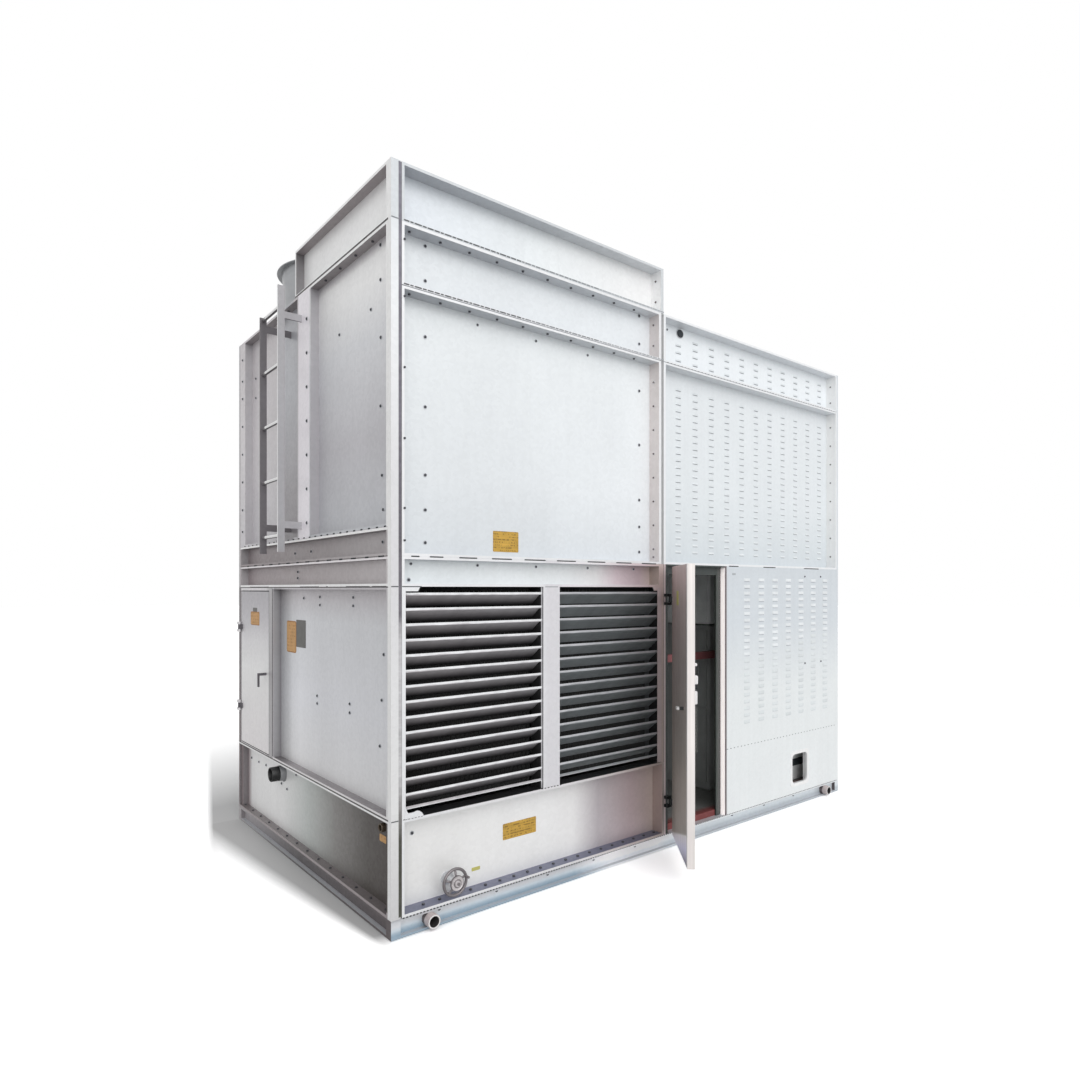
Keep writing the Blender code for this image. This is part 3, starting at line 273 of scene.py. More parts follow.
# louvre surround: painted pink-brown shade towards the right end beside the open door, on its face, flange edges and
# return; its side faces carry painted shade
header = sheet("header_casing",
    ("x", (0.07, "#D4D9DF", 0.76), (1.15, "#D2D5DB", 0.72), (1.38, "#D2D3D6", 0.62), (1.55, "#B4A8AC", 0.55),
        (1.75, "#9B8D91", 0.52), (1.86, "#A09590", 0.50)),
    dict(front_side_shading, right="#8E8F92", left="#A0A0A2"),
    zones=[("left", {"x": (1.8, 1.9), "z": (1.655, 1.80)}, ("#A59890", 0.83))],
    lips=[("y", LIP,
        ("x", (0.06, EDGE), (0.90, EDGE), (0.94, "#E2E1E5"), (1.02, "#E2E1E5"), (1.06, "#EDEBEE"),
            (1.3, "#EDEBEE", 0.95), (1.7, "#BFB0B4", 0.70), (1.88, "#9C8E8A", 0.60)))])
assign(header, "louvre_surround")
# basin: painted pink-brown shade towards the right end beside the open door; painted shade near both ends of its end
# face; up faces painted dark higher up as shade; painted shade on the returns at the end; a painted highlight on the
# end flange's edge
basin = sheet("basin_casing",
    ("x", (0.05, "#DEDEDD", 0.80), (1.0, "#E6E6E5", 0.80), (1.20, "#E6E4E4", 0.84), (1.40, "#CFC8CC", 1.08),
        (1.68, "#E3CFD2", 1.18), (1.80, "#DCCBC9", 1.05), (1.86, "#D6C8C2", 0.95)),
    {
        "left": ("y", (0.03, "#5C5350", 1.55), (0.35, "#6A6561", 1.45), (0.75, "#8A8886", 0.92),
            (1.15, "#A9ADAB", 0.69), (1.6, "#C9CECD", 0.51), (2.02, "#D6D8D7", 0.49), (2.19, "#C2C0C0", 0.56),
            (2.262, "#8E8486", 0.62), (2.276, "#7A7072", 0.66), (2.32, "#6D6163", 0.70)),
        "up": ("z", (0.10, "#8C8D92"), (0.12, "#8C8D92"), (0.40, "#28282A"), (0.60, "#28282A")),
        "down": "#A5A7AB", "right": "#B9BABD", "back": "#B9BABD"},
    lips=[("y", LIP, ("x", (0.05, EDGE), (1.2, "#E6E4E6"), (1.7, "#B5A8A6", 0.7), (1.9, "#9A8E8A", 0.7)))],
    zones=[("up", {"y": (-0.01, 0.10), "z": (0.0, 0.2)}, "#7A7D92"),
        ("up", {"x": POST, "y": (0.06, 2.4), "z": (0.0, 0.2)}, "#7E7778"),
        ("front", {"x": POST, "y": (0.3, 2.4)}, "#7F7A7C"),
        ("left", {"x": (1.8, 1.9), "y": (-0.01, 0.10)}, ("#8F807C", 0.66)),
        ("left", {"x": END_LIP, "z": (0.09, 0.120)}, ("#8C8586", 0.66)),
        ("left", {"x": END_LIP, "z": (0.5385, 0.5525)}, END_EDGE_HIGHLIGHT)])
assign(basin, "basin")
# corner post: painted light and shade on each side, the dark right side painted shade
post = sheet("corner_post",
    ("z", (0.09, "#D3D2D3", 1.02), (0.6, "#E6E6E6"), (1.2, "#E4E4E5"), (1.75, "#DCDBDE", 1.02),
        (2.3, "#E4E4E6"), (3.0, "#EDEFF1"), (3.37, "#E4E7EA")),
    {
        "left": ("z", (0.0, "#E6E2E3", 0.62), (1.6, "#E2DFE0", 0.62), (2.6, "#DCDADD", 0.62),
            (3.4, "#D6D7DB", 0.62)),
        "right": "#6B6A6E", "back": INSIDE_SHADE},
    metal=0.15, cloud=0.03)
assign(post, "corner_post_front_left")
# back corner post: painted light and shade on its left and back faces, darker below 1.65 m
assign(
    sheet("back_post", "#B8B6B8",
        {
            "left": ("z", (0.55, "#6A5F61", 0.75), (1.64, "#5F5A5E", 0.75), (1.66, "#A8A5A7", 0.88),
                (3.4, "#B6B4B7", 0.90)),
            "back": ("z", (0.55, "#6A5F61", 0.75), (3.4, "#BCBABC"))}),
    "corner_post_back_left")

# upper end casing: a painted shadow under the top flange band, painted shade deepening towards the stiffener, painted
# highlights on the flange edges
end_upper = sheet("end_casing", "#CFCFD1",
    dict(end_side_shading, front="#C0BEC2",
        left=("z", (1.90, "#AAACB0", 0.70), (2.4, "#ABAAAE", 0.72), (2.9, "#B9BABD", 0.66),
            (3.20, "#CBCACC", 0.54), (3.30, "#CBCACC", 0.54), (3.345, "#A9A7A9", E))),
    after=[("y", (0.05, 1.0), (0.45, 1.0), (0.75, 0.96), (0.97, 0.88))],
    zones=[("left", {"x": END_LIP, "z": (3.354, 3.3695)}, ("#EDEBEC", 0.72)),
        ("left", {"x": END_LIP, "y": (0.03, 0.050)}, ("#D5D5D7", 0.66))])
assign(end_upper, "end_upper_panel_front")
# far upper end casing: painted light that grows towards the far end, and a painted shadow of the ladder between y 1.25
# and 1.555 m
end_back = sheet("end_casing_back", "#BFBFC1",
    dict(end_side_shading, front="#B0AEB1",
        left=("z", (1.90, "#A09EA1", 0.66), (2.6, "#A9A6A8", 0.66), (3.4, "#A7A3A5", 0.66))),
    cloud=0.10,
    after=[("y", (1.17, 1.0), (1.6, 1.0), (1.9, 1.08), (2.1, 1.13))],
    zones=[("left", {"y": (1.25, 1.555)},
        ("z", (1.93, "#848184", 0.74), (2.2, "#878487", 0.71), (2.9, "#A1A2A6", 0.72), (3.37, "#A1A2A6", 0.72)))])
assign(end_back, "end_upper_panel_back")
# end band: painted shade deepening towards the far end, its lower part painted lighter than its upper part, painted
# highlights on the flange edges
band = sheet("end_band_casing", "#A09A9B",
    dict(end_side_shading, left=("y", (0.03, "#9C9899", E), (1.0, "#8A8485", E), (2.3, "#7C7375", E)), up="#8A8486"),
    after=[("z", (1.651, 1.10), (1.792, 1.06), (1.798, 0.87), (1.933, 0.87))],
    zones=[("left", {"x": END_LIP, "z": (1.651, 1.665)}, END_EDGE_HIGHLIGHT),
        ("left", {"x": END_LIP, "z": (1.781, 1.7905)}, ("#C6C3C5", 0.66)),
        ("left", {"x": END_LIP, "z": (1.918, 1.931)}, END_EDGE_HIGHLIGHT)])
assign(band, "end_band")
# lower end casing: painted shade deepening towards the top and beside the access door's frame, with a lighter painted
# strip before it, darker front returns and painted highlights on the flange edges
end_low = sheet("end_lower_casing", "#BEBEC0",
    dict(end_side_shading,
        left=("z", (0.55, "#C3C3C4", 0.67), (1.0, "#BDBEC2", 0.645), (1.45, "#B0B1B4", 0.635),
            (1.60, "#A09DA0", 0.64)),
        up="#8E898C",
        front=("x", (0.0, "#A5A3A6", 0.58), (0.025, "#9A999B", 0.58), (0.05, "#7E7C80", 0.58))),
    after=[("y", (0.05, 1.0), (0.95, 1.02), (1.28, 1.15), (1.40, 1.06), (1.47, 0.82), (1.56, 0.66))],
    zones=[("left", {"x": END_LIP, "y": (1.59, 1.62)}, ("#A6A4A8", 0.66)),
        ("left", {"x": END_LIP, "z": (0.5545, 0.568)}, ("#C9C7C8", 0.68))])
assign(end_low, "end_lower_panel")
assign(
    sheet("end_stiffener_metal", "#B9B7BB", {"left": ("#C2BFC3", E), "front": "#B2B0B4", "back": "#9A979A"}),
    "end_stiffener")
# access door frame: painted light and shade along its faces, with a dark painted strip of shade at its far edge
assign(
    sheet("end_frame_metal", "#8D8B8D",
        {
            "left": ("y", (1.60, "#8E8C8E", 0.66), (1.69, "#A19FA1", 0.66), (1.75, "#B5B3B5", E),
                (2.27, "#B5B3B5", E), (2.275, "#5F5A5C", 0.8), (2.29, "#5F5A5C", 0.8)),
            "front": "#8F8C90", "right": INSIDE_SHADE}),
    "end_door_frame")
# access door: painted shade that deepens towards its top
door_sheet = sheet("access_door_metal", "#BDBCBE",
    {
        "left": ("z", (0.55, "#C9C6C7", 0.66), (1.1, "#CACACA", E), (1.30, "#BEBDBF", 0.65),
            (1.45, "#ABA9AD", 0.70), (1.64, "#A09EA2", 0.76)),
        "front": "#7E7C7F", "right": INSIDE_SHADE},
    zones=[(None, {"x": (-0.2, -0.0015)}, ("#565358", 0.9))])
assign(door_sheet, "access_door")
back = sheet("back_casing", "#C6C9CC",
    {"up": "#B5B7BA", "down": "#77797D", "back": "#D3D6D9", "front": INSIDE_SHADE, "left": "#9FA1A4"})
assign(back, "tower_back_lower", "tower_back_upper")
# painted shade: the walls inside the tower are coloured dark
inner = sheet("inner_sheet", "#6C6E70", {"right": ROOM_IN, "back": "#9FA2A5"}, metal=0.1)
assign(inner, "partition_wall", "coil_back_wall")
assign(sheet("deck_sheet", "#C3C6C9", {"down": INSIDE_SHADE}), "fan_deck")

# upper room casing: painted shade at its foot, and a band above 3.09 m painted lighter as painted light
room_up = sheet("room_casing", ("z", (1.80, "#DAE1E5"), (2.3, "#E8EDF0"), (3.4, "#EAEEF1")),
    dict(front_side_shading, left=("#DBD6D5", 0.72), right="#D5D8DB", back=ROOM_IN),
    shades=[("z", (1.80, 1.0), (3.06, 1.0), (3.09, 1.10), (3.36, 1.10))], lips=[("y", LIP, "#F0F2F4")],
    metal=0.12, spangle=0.02, cloud=0.03, streak=0.02)
assign(room_up, "room_front_upper")
# lower room panel: the strip facing the doorway is painted far lighter than its light allows, as painted light, beside
# a painted line of shade at the doorway's edge
room_low = sheet("room_lower_panel",
    ("z", (0.09, "#E6E9EA", 0.94), (0.9, "#E4E8E9", 0.92), (1.4, "#D6DCE1", 0.96), (1.79, "#D3D9DE", 0.97)),
    {"left": ("#E7EAEA", 0.7), "right": "#DADDDF", "up": "#E5E8EA", "down": "#9DA0A3", "back": ROOM_IN},
    metal=0.12, spangle=0.02, cloud=0.03, streak=0.02,
    zones=[
        ("front", {"x": (2.50, 2.536), "z": (0.0, 1.795)},
            ("x", (2.512, "#6A5E61"), (2.526, "#6A5E61"), (2.536, "#BFC1C5"))),
        ("left", {"x": (2.50, 2.53), "z": (0.0, 1.795)}, (2.4, 2.25, 2.2, 1.0))])
assign(room_low, "room_front_lower", "room_post_front", "room_post_back")
# painted shade: the dark green-grey of the unlit doorway
DOORWAY_SHADE = "#343B39"
# door jamb: painted shade throughout: the doorway's dark across its head and sill, dark sides, and pinkish painted
# shade on its left stile
jamb = sheet("door_frame_shade",
    ("x", (1.890, "#A6999A", 0.62), (1.906, "#A6999A", 0.62), (1.909, DOORWAY_SHADE), (2.470, DOORWAY_SHADE),
        (2.490, "#4A4D4B"), (2.516, "#4A4547")),
    {"left": "#2E3432", "right": "#3B3736", "down": "#2E3432", "back": INSIDE_SHADE},
    zones=[("front", {"x": (1.95, 2.45), "z": (1.70, 1.80)}, "#39403F")], metal=0.1)
assign(jamb, "door_jamb")
room_wall = sheet("room_side_casing", "#D7DADC",
    {"front": ROOM_IN, "left": ROOM_IN, "down": "#7B7D80", "up": "#B9BCBF"}, metal=0.12)
assign(room_wall, "room_end_wall", "room_back_wall")
assign(sheet("room_roof_paint", "#DDE0E2", {"down": ROOM_IN}, metal=0.1), "room_roof")
assign(
    sheet("room_floor_paint",
        ("y", (0.04, "#7E3E3D"), (0.085, "#743E3C"), (0.13, "#6E6F6D"), (2.3, "#6E6F6D")), rough=0.6,
        metal=0.0, cloud=0.2),
    "room_floor")
# cross bar: its red paint, with painted shade making the left end dark
assign(
    sheet("cross_bar_paint_and_shade", ("x", (2.0, "#3A2A2B"), (2.2, "#3A2A2B"), (2.3, "#8C5759"), (3.0, "#8C5759")),
        rough=0.5, metal=0.0, cloud=0.15),
    "room_cross_bar")

SWING = math.radians(131)
LEAF = (math.cos(SWING), -math.sin(SWING), 0.0)
OUT = (-math.sin(SWING), -math.cos(SWING), 0.0)
INWARD = (-OUT[0], -OUT[1], 0.0)
PIN = Vector((1.927, -0.022, 0.0))


def leaf_material():
    """The open leaf: painted brown shade on its outer face, a painted pale free edge, black knuckles at the pin."""
    g = Graph("door_leaf_paint_light_and_shade")
    offset = g.node("ShaderNodeVectorMath", _0=g.position, _1=tuple(PIN + CORNER))
    offset.operation = "SUBTRACT"
    offset = offset.outputs[0]
    along = g.dot(offset, LEAF)
    level = g.math("SUBTRACT", g.along("z"), g.times(along, 0.30))
    # painted light and shade on the outer face along a slanted level: a dark foot, a pale bluish patch of light and a
    # bright line, then brown shade above
    outer = g.ramp(level, [
        (-0.069, "#55525C", 0.45), (0.030, "#9A9AAC", 0.45), (0.095, "#ABA9B4", 0.45),
        (0.105, "#D6D2D2", 0.45), (0.113, "#7F7C76", 0.44), (0.55, "#7C7872", 0.42),
        (1.1, "#716A67", 0.35), (1.70, "#807270", 0.34)])
    # painted highlight: the last few millimetres of the outer face take the pale of the free edge
    outer = g.mix(g.range(along, 0.550, 0.556), outer, lin("#E9DFDD", 0.50))
    tone = g.mix(g.facing(OUT), lin("#CFCBC8"), outer)
    # painted highlight on the free edge
    tone = g.mix(g.facing(LEAF), tone, lin("#F0E9E6", 0.93))
    tone = g.mix(g.facing(INWARD), tone, lin("#D9DBDC"))
    tone = g.mix(g.range(g.dot(offset, OUT), -0.0094, -0.0088), tone, lin("#25292A"))
    g.paint(tone, g.vary(0.86, 1.06, 38.0, 2.0, (1, 1, 0.03)), g.vary(0.95, 1.03, 3.0, 3.0))
    g.set("Roughness", g.vary(0.38, 0.50, 18.0))
    g.set("Metallic", 0.1)
    g.bump(g.noise(2.6, 2.0), 0.05, 0.01)
    return g.material


assign(leaf_material(), "room_door")
# base rail: painted light lifts its front where the open door shades it; painted shade darkens its end face, least at
# the far end, and the front-facing returns at the end
rail = sheet("rail_metal", "#D3D6D6",
    {
        "front": ("z", (0.0, "#A0B1BE", 0.95), (0.018, "#92A8B8", 0.92), (0.030, "#A9BAC7", 0.92),
            (0.043, "#CCD6DE", 0.92), (0.060, "#D5D7DB", 0.90), (0.078, "#CBCDD1", 0.90),
            (0.0915, "#A9AAAE", 0.90)),
        "up": "#C9CBD0", "down": "#6F7A86",
        "left": ("y", (0.0, "#7D7375", 1.6), (1.2, "#8A8486", 2.05), (1.8, "#8F8B8D", 0.96),
            (2.3, "#8F8B8D", 0.64)),
        "right": "#C9CBCD", "back": "#C5C7C9"},
    zones=[
        ("front", {"x": (1.3, 2.0)},
            ("z", (0.0, (0.95, 0.97, 1.0, 1)), (0.026, (0.95, 0.98, 1.02, 1)), (0.048, (1.15, 1.14, 1.16, 1)),
                (0.09, (1.15, 1.14, 1.16, 1))),
            0.14),
        ("front", {"x": (2.0, 4.1)},
            ("z", (0.0, "#BEC4C9", 0.86), (0.030, "#B4BBC1", 0.86), (0.055, "#D5DCE1", 0.88),
                (0.09, "#E4E7E9", 0.90)),
            0.14),
        ("front", {"y": (0.3, 2.4)}, "#8F8A8C"), ("front", {"y": (-0.05, -0.030)}, "#F0EEEE")])
assign(rail, "base_frame")
# ladder: painted light and shade on its sides, and its far stringer painted dark as shade
assign(
    sheet("ladder_metal", "#C4C2C5", {"left": ("#CAC8CB", 0.52), "front": "#AFAEB1", "down": "#615D60"},
        zones=[(None, {"y": (1.375, 1.45)}, ("#686568", 0.8))]),
    "ladder")
assign(plain("black_hinge_paint", "#1E2223", 0.4, 0.2), "room_door_hinge_lower", "room_door_hinge_upper")
assign(plain("grey_hinge_metal", ("#CFCDCF", 0.85), 0.42, 0.3), "access_door_hinge_lower",
    "access_door_hinge_upper")
assign(plain("pipe_plastic", "#1A1B1D", 0.4), "spray_pipes", "overflow_stub")
assign(plain("worn_stub_metal", "#4A4546", 0.45, 0.6), "drain_stub")
assign(plain("wheel_metal", "#8E8788", 0.32, 0.8), "handwheel")
assign(plain("valve_metal", "#9A918C", 0.36, 0.8), "valve_body")
assign(sheet("stack_sheet", ("#B9BBBE", 1.2), rough=0.36, metal=0.45), "fan_stack_left", "fan_stack_right")
assign(plain("fan_paint", "#5A6066", 0.5, 0.2), "fan_left", "fan_right")
assign(plain("motor_paint", "#4C5258", 0.5, 0.2), "fan_drive_left", "fan_drive_right")
assign(sheet("coil_metal", "#4C4D4E", rough=0.5, metal=0.5), "coil_bundle")


def louvre_material():
    """A painted highlight on each slightly wavy lip; painted shade takes a blade from grey to black as it runs in."""
    g = Graph("louvre_blades")
    depth, along = g.along("y"), g.along("x")
    fall = g.math("MODULO", g.math("SUBTRACT", 1.6222, g.axis("z")), 0.0732)
    blade_shade = g.ramp(depth, [(0.017, "#8E8B8D", 0.42), (0.042, "#7E7B7D", 0.42), (0.066, "#696668", 0.42),
                            (0.086, "#3C3A3C", 0.45), (0.097, "#181818", 0.5)])
    # painted shade over the left bay
    shade = g.ramp(along, [(0.07, (0.84, 0.84, 0.84, 1)), (0.95, (0.84, 0.86, 0.87, 1))])
    blade_shade = g.mix(1.0, blade_shade, shade, "MULTIPLY")
    # painted light: the right bay's blades stay lighter as they run in
    far = g.ramp(depth, [(0.017, "#606365", 0.40), (0.050, "#5C6062", 0.40), (0.075, "#6E7274", 0.40),
                         (0.097, "#74787A", 0.38)])
    blade_shade = g.mix(g.range(along, 0.95, 1.02), blade_shade, far)
    # the lips' painted highlight dims towards the right end, as painted shade beside the open door
    lip = g.ramp(along, [(0.07, "#F2F3F5"), (0.92, "#EFF0F2"), (1.04, "#C9CACE"), (1.40, "#B4B6BA"),
                         (1.70, "#A5A4A8"), (1.86, "#99979B")])
    edge = g.vary(0.0070, 0.0135, 7.0, 2.0, (1.1, 1, 3.4))
    lip_highlight = g.times(g.facing(FACE, 0.85, 0.95),
                     g.range(g.math("SUBTRACT", fall, edge), -0.0015, 0.0015, 1.0, 0.0))
    # painted shade on the faces that look left
    side = g.mix(g.facing(LEFT), blade_shade, lin("#2A2A2B"))
    g.paint(g.mix(lip_highlight, side, lip), g.vary(0.88, 1.06, 3.0, 3.0, (6, 1, 1)))
    g.set("Roughness", g.vary(0.45, 0.62, 30.0))
    g.set("Metallic", 0.1)
    g.bump(g.noise(60.0, 2.0, (0.2, 1, 1)), 0.1, 0.001)
    return g.material


assign(louvre_material(), "louvre_bank_left", "louvre_bank_right")

# --- Geometry helpers
PIECES = {}


def pile(name, material, body="plant"):
    """The mesh that many small parts of one kind are joined in."""
    if name not in PIECES:
        PIECES[name] = (bmesh.new(), MATERIALS[material], body)
    return PIECES[name][0]


def frame_of(normal):
    """Axes on a face: across, up and out."""
    out = Vector(normal).normalized()
    up = Vector((0, 0, 1)) if abs(out.z) < 0.9 else Vector((0, 1, 0))
    across = up.cross(out).normalized()
    return across, out.cross(across).normalized(), out


def skin(bm, rings):
    """Faces from each closed ring of points to the next."""
    for first, last in zip(rings, rings[1:]):
        for i in range(len(first)):
            j = (i + 1) % len(first)
            bm.faces.new((first[i], first[j], last[j], last[i]))


def cap(bm, rings):
    bm.faces.new(rings[-1])
    bm.faces.new(list(reversed(rings[0])))


def solid(bm, centre, normal, outline, low, high, grow=0.0):
    """A prism on a face from an outline of (across, up) points; grow narrows its outer rim."""
    across, up, out = frame_of(normal)
    levels = ((low, 0.0), (high - grow, 0.0), (high, grow)) if grow else ((low, 0.0), (high, 0.0))
    rings = []
    for height, inset in levels:
        ring = []
        for a, b in outline:
            keep = 1 - inset / (math.hypot(a, b) or 1.0)
            ring.append(bm.verts.new(centre + across * a * keep + up * b * keep + out * height))
        rings.append(ring)
    skin(bm, rings)
    cap(bm, rings)


def circle(radius, sides, turn=0.0, squash=1.0):
    angles = [turn + math.tau * i / sides for i in range(sides)]
    return [(radius * math.cos(a), radius * squash * math.sin(a)) for a in angles]


def rounded(width, height, radius, steps=3):
    """The outline of a rectangle with round corners."""
    points = []
    for right, top, start in ((1, 1, 0), (-1, 1, 90), (-1, -1, 180), (1, -1, 270)):
        for i in range(steps + 1):
            a = math.radians(start + 90 * i / steps)
            points.append((right * (width / 2 - radius) + radius * math.cos(a),
                           top * (height / 2 - radius) + radius * math.sin(a)))
    return points


def bolt(x, y, z, normal, kind="bolt", size=0.0075, washer=True, body="plant"):
    """A hexagon head with a crowned top on a round washer."""
    centre = at(x, y, z)
    head = pile(kind + "_heads_" + body, kind, body)
    turn = (x * 7.3 + y * 3.1 + z * 5.7) % 1.0
    if washer:
        solid(pile(kind + "_washers_" + body, "washer", body), centre, normal,
              circle(size * 1.5, 14), 0.0, 0.0014, 0.0004)
    solid(head, centre, normal, circle(size, 6, turn), 0.0008, 0.0058, 0.0012)
    solid(head, centre, normal, circle(size * 0.45, 8, turn), 0.005, 0.0072, 0.0010)


def dash(x, y, z, normal, width, height=0.0045, kind="gap"):
    """A dark slot that shows where two flanges stand apart."""
    solid(pile(kind + "_dashes", kind), at(x, y, z), normal, rounded(width, height, height * 0.45, 2),
          -0.0006, 0.0008)


def slot_pressing(x, y, z, width, height, proud, shade):
    """A pressed louvre: a hood that swells out from the sheet over a dark slit, open below."""
    across, up, out = frame_of(FACE)
    bm = pile("pressed_" + shade, "pressed_" + shade)
    centre = at(x, y, z)
    columns, rows = 8, 4
    grid = []
    for i in range(columns + 1):
        s = -1 + 2 * i / columns
        rise = max(0.0, 1 - abs(s) ** 3.2)
        line = []
        for j in range(rows + 1):
            t = j / rows
            depth = 0.0003 + proud * rise * math.sin(t * math.pi / 2)
            line.append(bm.verts.new(centre + across * (s * width / 2)
                                     + up * (height * (1 - t) - height / 2) + out * depth))
        grid.append(line)
    for i in range(columns):
        for j in range(rows):
            bm.faces.new((grid[i][j], grid[i][j + 1], grid[i + 1][j + 1], grid[i + 1][j]))
    solid(pile("slits_" + shade, "slit_" + shade), centre - up * (height / 2 + 0.0005), FACE,
          rounded(width * 0.86, 0.005, 0.002, 2), 0.0, 0.0006)


def box(bm, x, y, z, bevel):
    """A block between two planes on each axis, with its edges eased."""
    middle = Matrix.Translation(at(sum(x) / 2, sum(y) / 2, sum(z) / 2))
    size = Matrix.Diagonal((x[1] - x[0], y[1] - y[0], z[1] - z[0], 1.0))
    made = bmesh.ops.create_cube(bm, size=1.0, matrix=middle @ size)
    edges = {e for v in made["verts"] for e in v.link_edges}
    bmesh.ops.bevel(bm, geom=list(edges), offset=bevel, segments=2, affect="EDGES")


def tube(bm, points, radius, sides=10):
    """A round bar or pipe through points in plant coordinates."""
    points = [at(*p) for p in points]
    rings = []
    for i, point in enumerate(points):
        ahead = points[min(i + 1, len(points) - 1)] - points[max(i - 1, 0)]
        across, up, _ = frame_of(ahead)
        rings.append([bm.verts.new(point + across * a + up * b) for a, b in circle(radius, sides)])
    skin(bm, rings)
    cap(bm, rings)


def turned(bm, centre, normal, profile, sides=64):
    """A closed ring profile of (radius, out) points turned about an axis that stands on a face."""
    across, up, out = frame_of(normal)
    rings = []
    for a, b in circle(1.0, sides):
        aim = across * a + up * b
        rings.append([bm.verts.new(centre + aim * radius + out * height) for radius, height in profile])
    skin(bm, rings + rings[:1])


def plate(name, material, centre, normal, width, height, thick=0.0015, radius=0.004, body="plant",
          rivets=False):
    outline = rounded(width, height, radius, 4)
    solid(pile(name, material, body), at(*centre), normal, outline, 0.0, thick, 0.0005)
    across, up, _ = frame_of(normal)
    for a, b in ((-1, -1), (-1, 1), (1, -1), (1, 1)) if rivets else ():
        place = Vector(centre) + across * a * (width / 2 - 0.009) + up * b * (height / 2 - 0.009)
        solid(pile("plate_rivets", "rivet"), at(*place), normal, circle(0.0026, 8), thick * 0.8,
              thick + 0.0012, 0.0006)


def broken_bars(g, pitch, share):
    """Rows of broken strokes, which stand for the lines of a plate and spell nothing."""
    row = g.math("MODULO", g.along("z"), pitch)
    inside = g.range(row, pitch * share, pitch * share + 0.0012, 1.0, 0.0)
    stroke = g.range(g.noise(75.0, 1.0, (1, 1, 0.6)), 0.50, 0.56)
    return g.math("MULTIPLY", inside, stroke)


def tag_orange():
    """A faded printed tag with darker strokes in rows."""
    g = Graph("tag_orange")
    tone = g.mix(g.times(broken_bars(g, 0.021, 0.5), 0.55), lin("#CFA068"), lin("#A8763C"))
    g.paint(tone, g.vary(0.84, 1.06, 16.0, 3.0))
    g.set("Roughness", g.vary(0.5, 0.62, 40.0))
    g.bump(g.noise(90.0, 2.0), 0.1, 0.0006)
    return g.material


def brushed_gold():
    """A bare brass coloured plate with fine brushing, tarnish and darker strokes."""
    g = Graph("plate_gold")
    brushing = g.noise(70.0, 3.0, (0.05, 1, 1.6))
    tarnish = g.range(g.noise(14.0, 3.0), 0.35, 0.65, 0.86, 1.06)
    tone = g.mix(g.times(broken_bars(g, 0.0145, 0.42), 0.75), lin("#CDA448"), lin("#7D5F2A"))
    g.paint(tone, g.range(brushing, 0.3, 0.7, 0.80, 1.08), tarnish)
    g.set("Roughness", 0.42)
    g.set("Metallic", 0.25)
    g.bump(brushing, 0.1, 0.0006)
    return g.material


def groove_shade():
    """The groove at the tower's corner as painted shade: mauve above, pale where nearly closed, dark green low down."""
    g = Graph("corner_groove")
    tone = g.ramp(g.along("z"), [
        (0.09, "#4A4A42"), (0.45, "#4A4A42"), (0.62, "#8F8C8C"), (0.75, "#C9C8CA"), (1.42, "#C6C4C7"),
        (1.52, "#77737A"), (1.9, "#6E6A72"), (2.6, "#7D7A84"), (3.65, "#87858F")])
    g.paint(tone, g.vary(0.72, 1.08, 60.0, 3.0, (0.2, 1, 0.6)))
    g.set("Roughness", g.vary(0.6, 0.75, 40.0))
    g.bump(g.noise(80.0, 2.0), 0.15, 0.0006)
    return g.material


def stack_sheet():
    """Spun zinc sheet of the fan stacks: forming rings, soft stains, a painted highlight on faces that look up."""
    g = Graph("stack_metal")
    # painted highlight: faces that look up, as at the rolled mouth, are lighter
    tone = g.mix(g.facing(UP), lin("#B9BBBE", 1.3), lin("#D5D7DA"))
    rings = g.noise(30.0, 2.0, (0.05, 0.05, 1))
    g.paint(tone, g.range(rings, 0.3, 0.7, 0.93, 1.03), g.vary(0.92, 1.03, 4.0, 3.0))
    g.set("Roughness", g.vary(0.30, 0.42, 26.0))
    g.set("Metallic", 0.45)
    g.bump(rings, 0.1, 0.002)
    return g.material


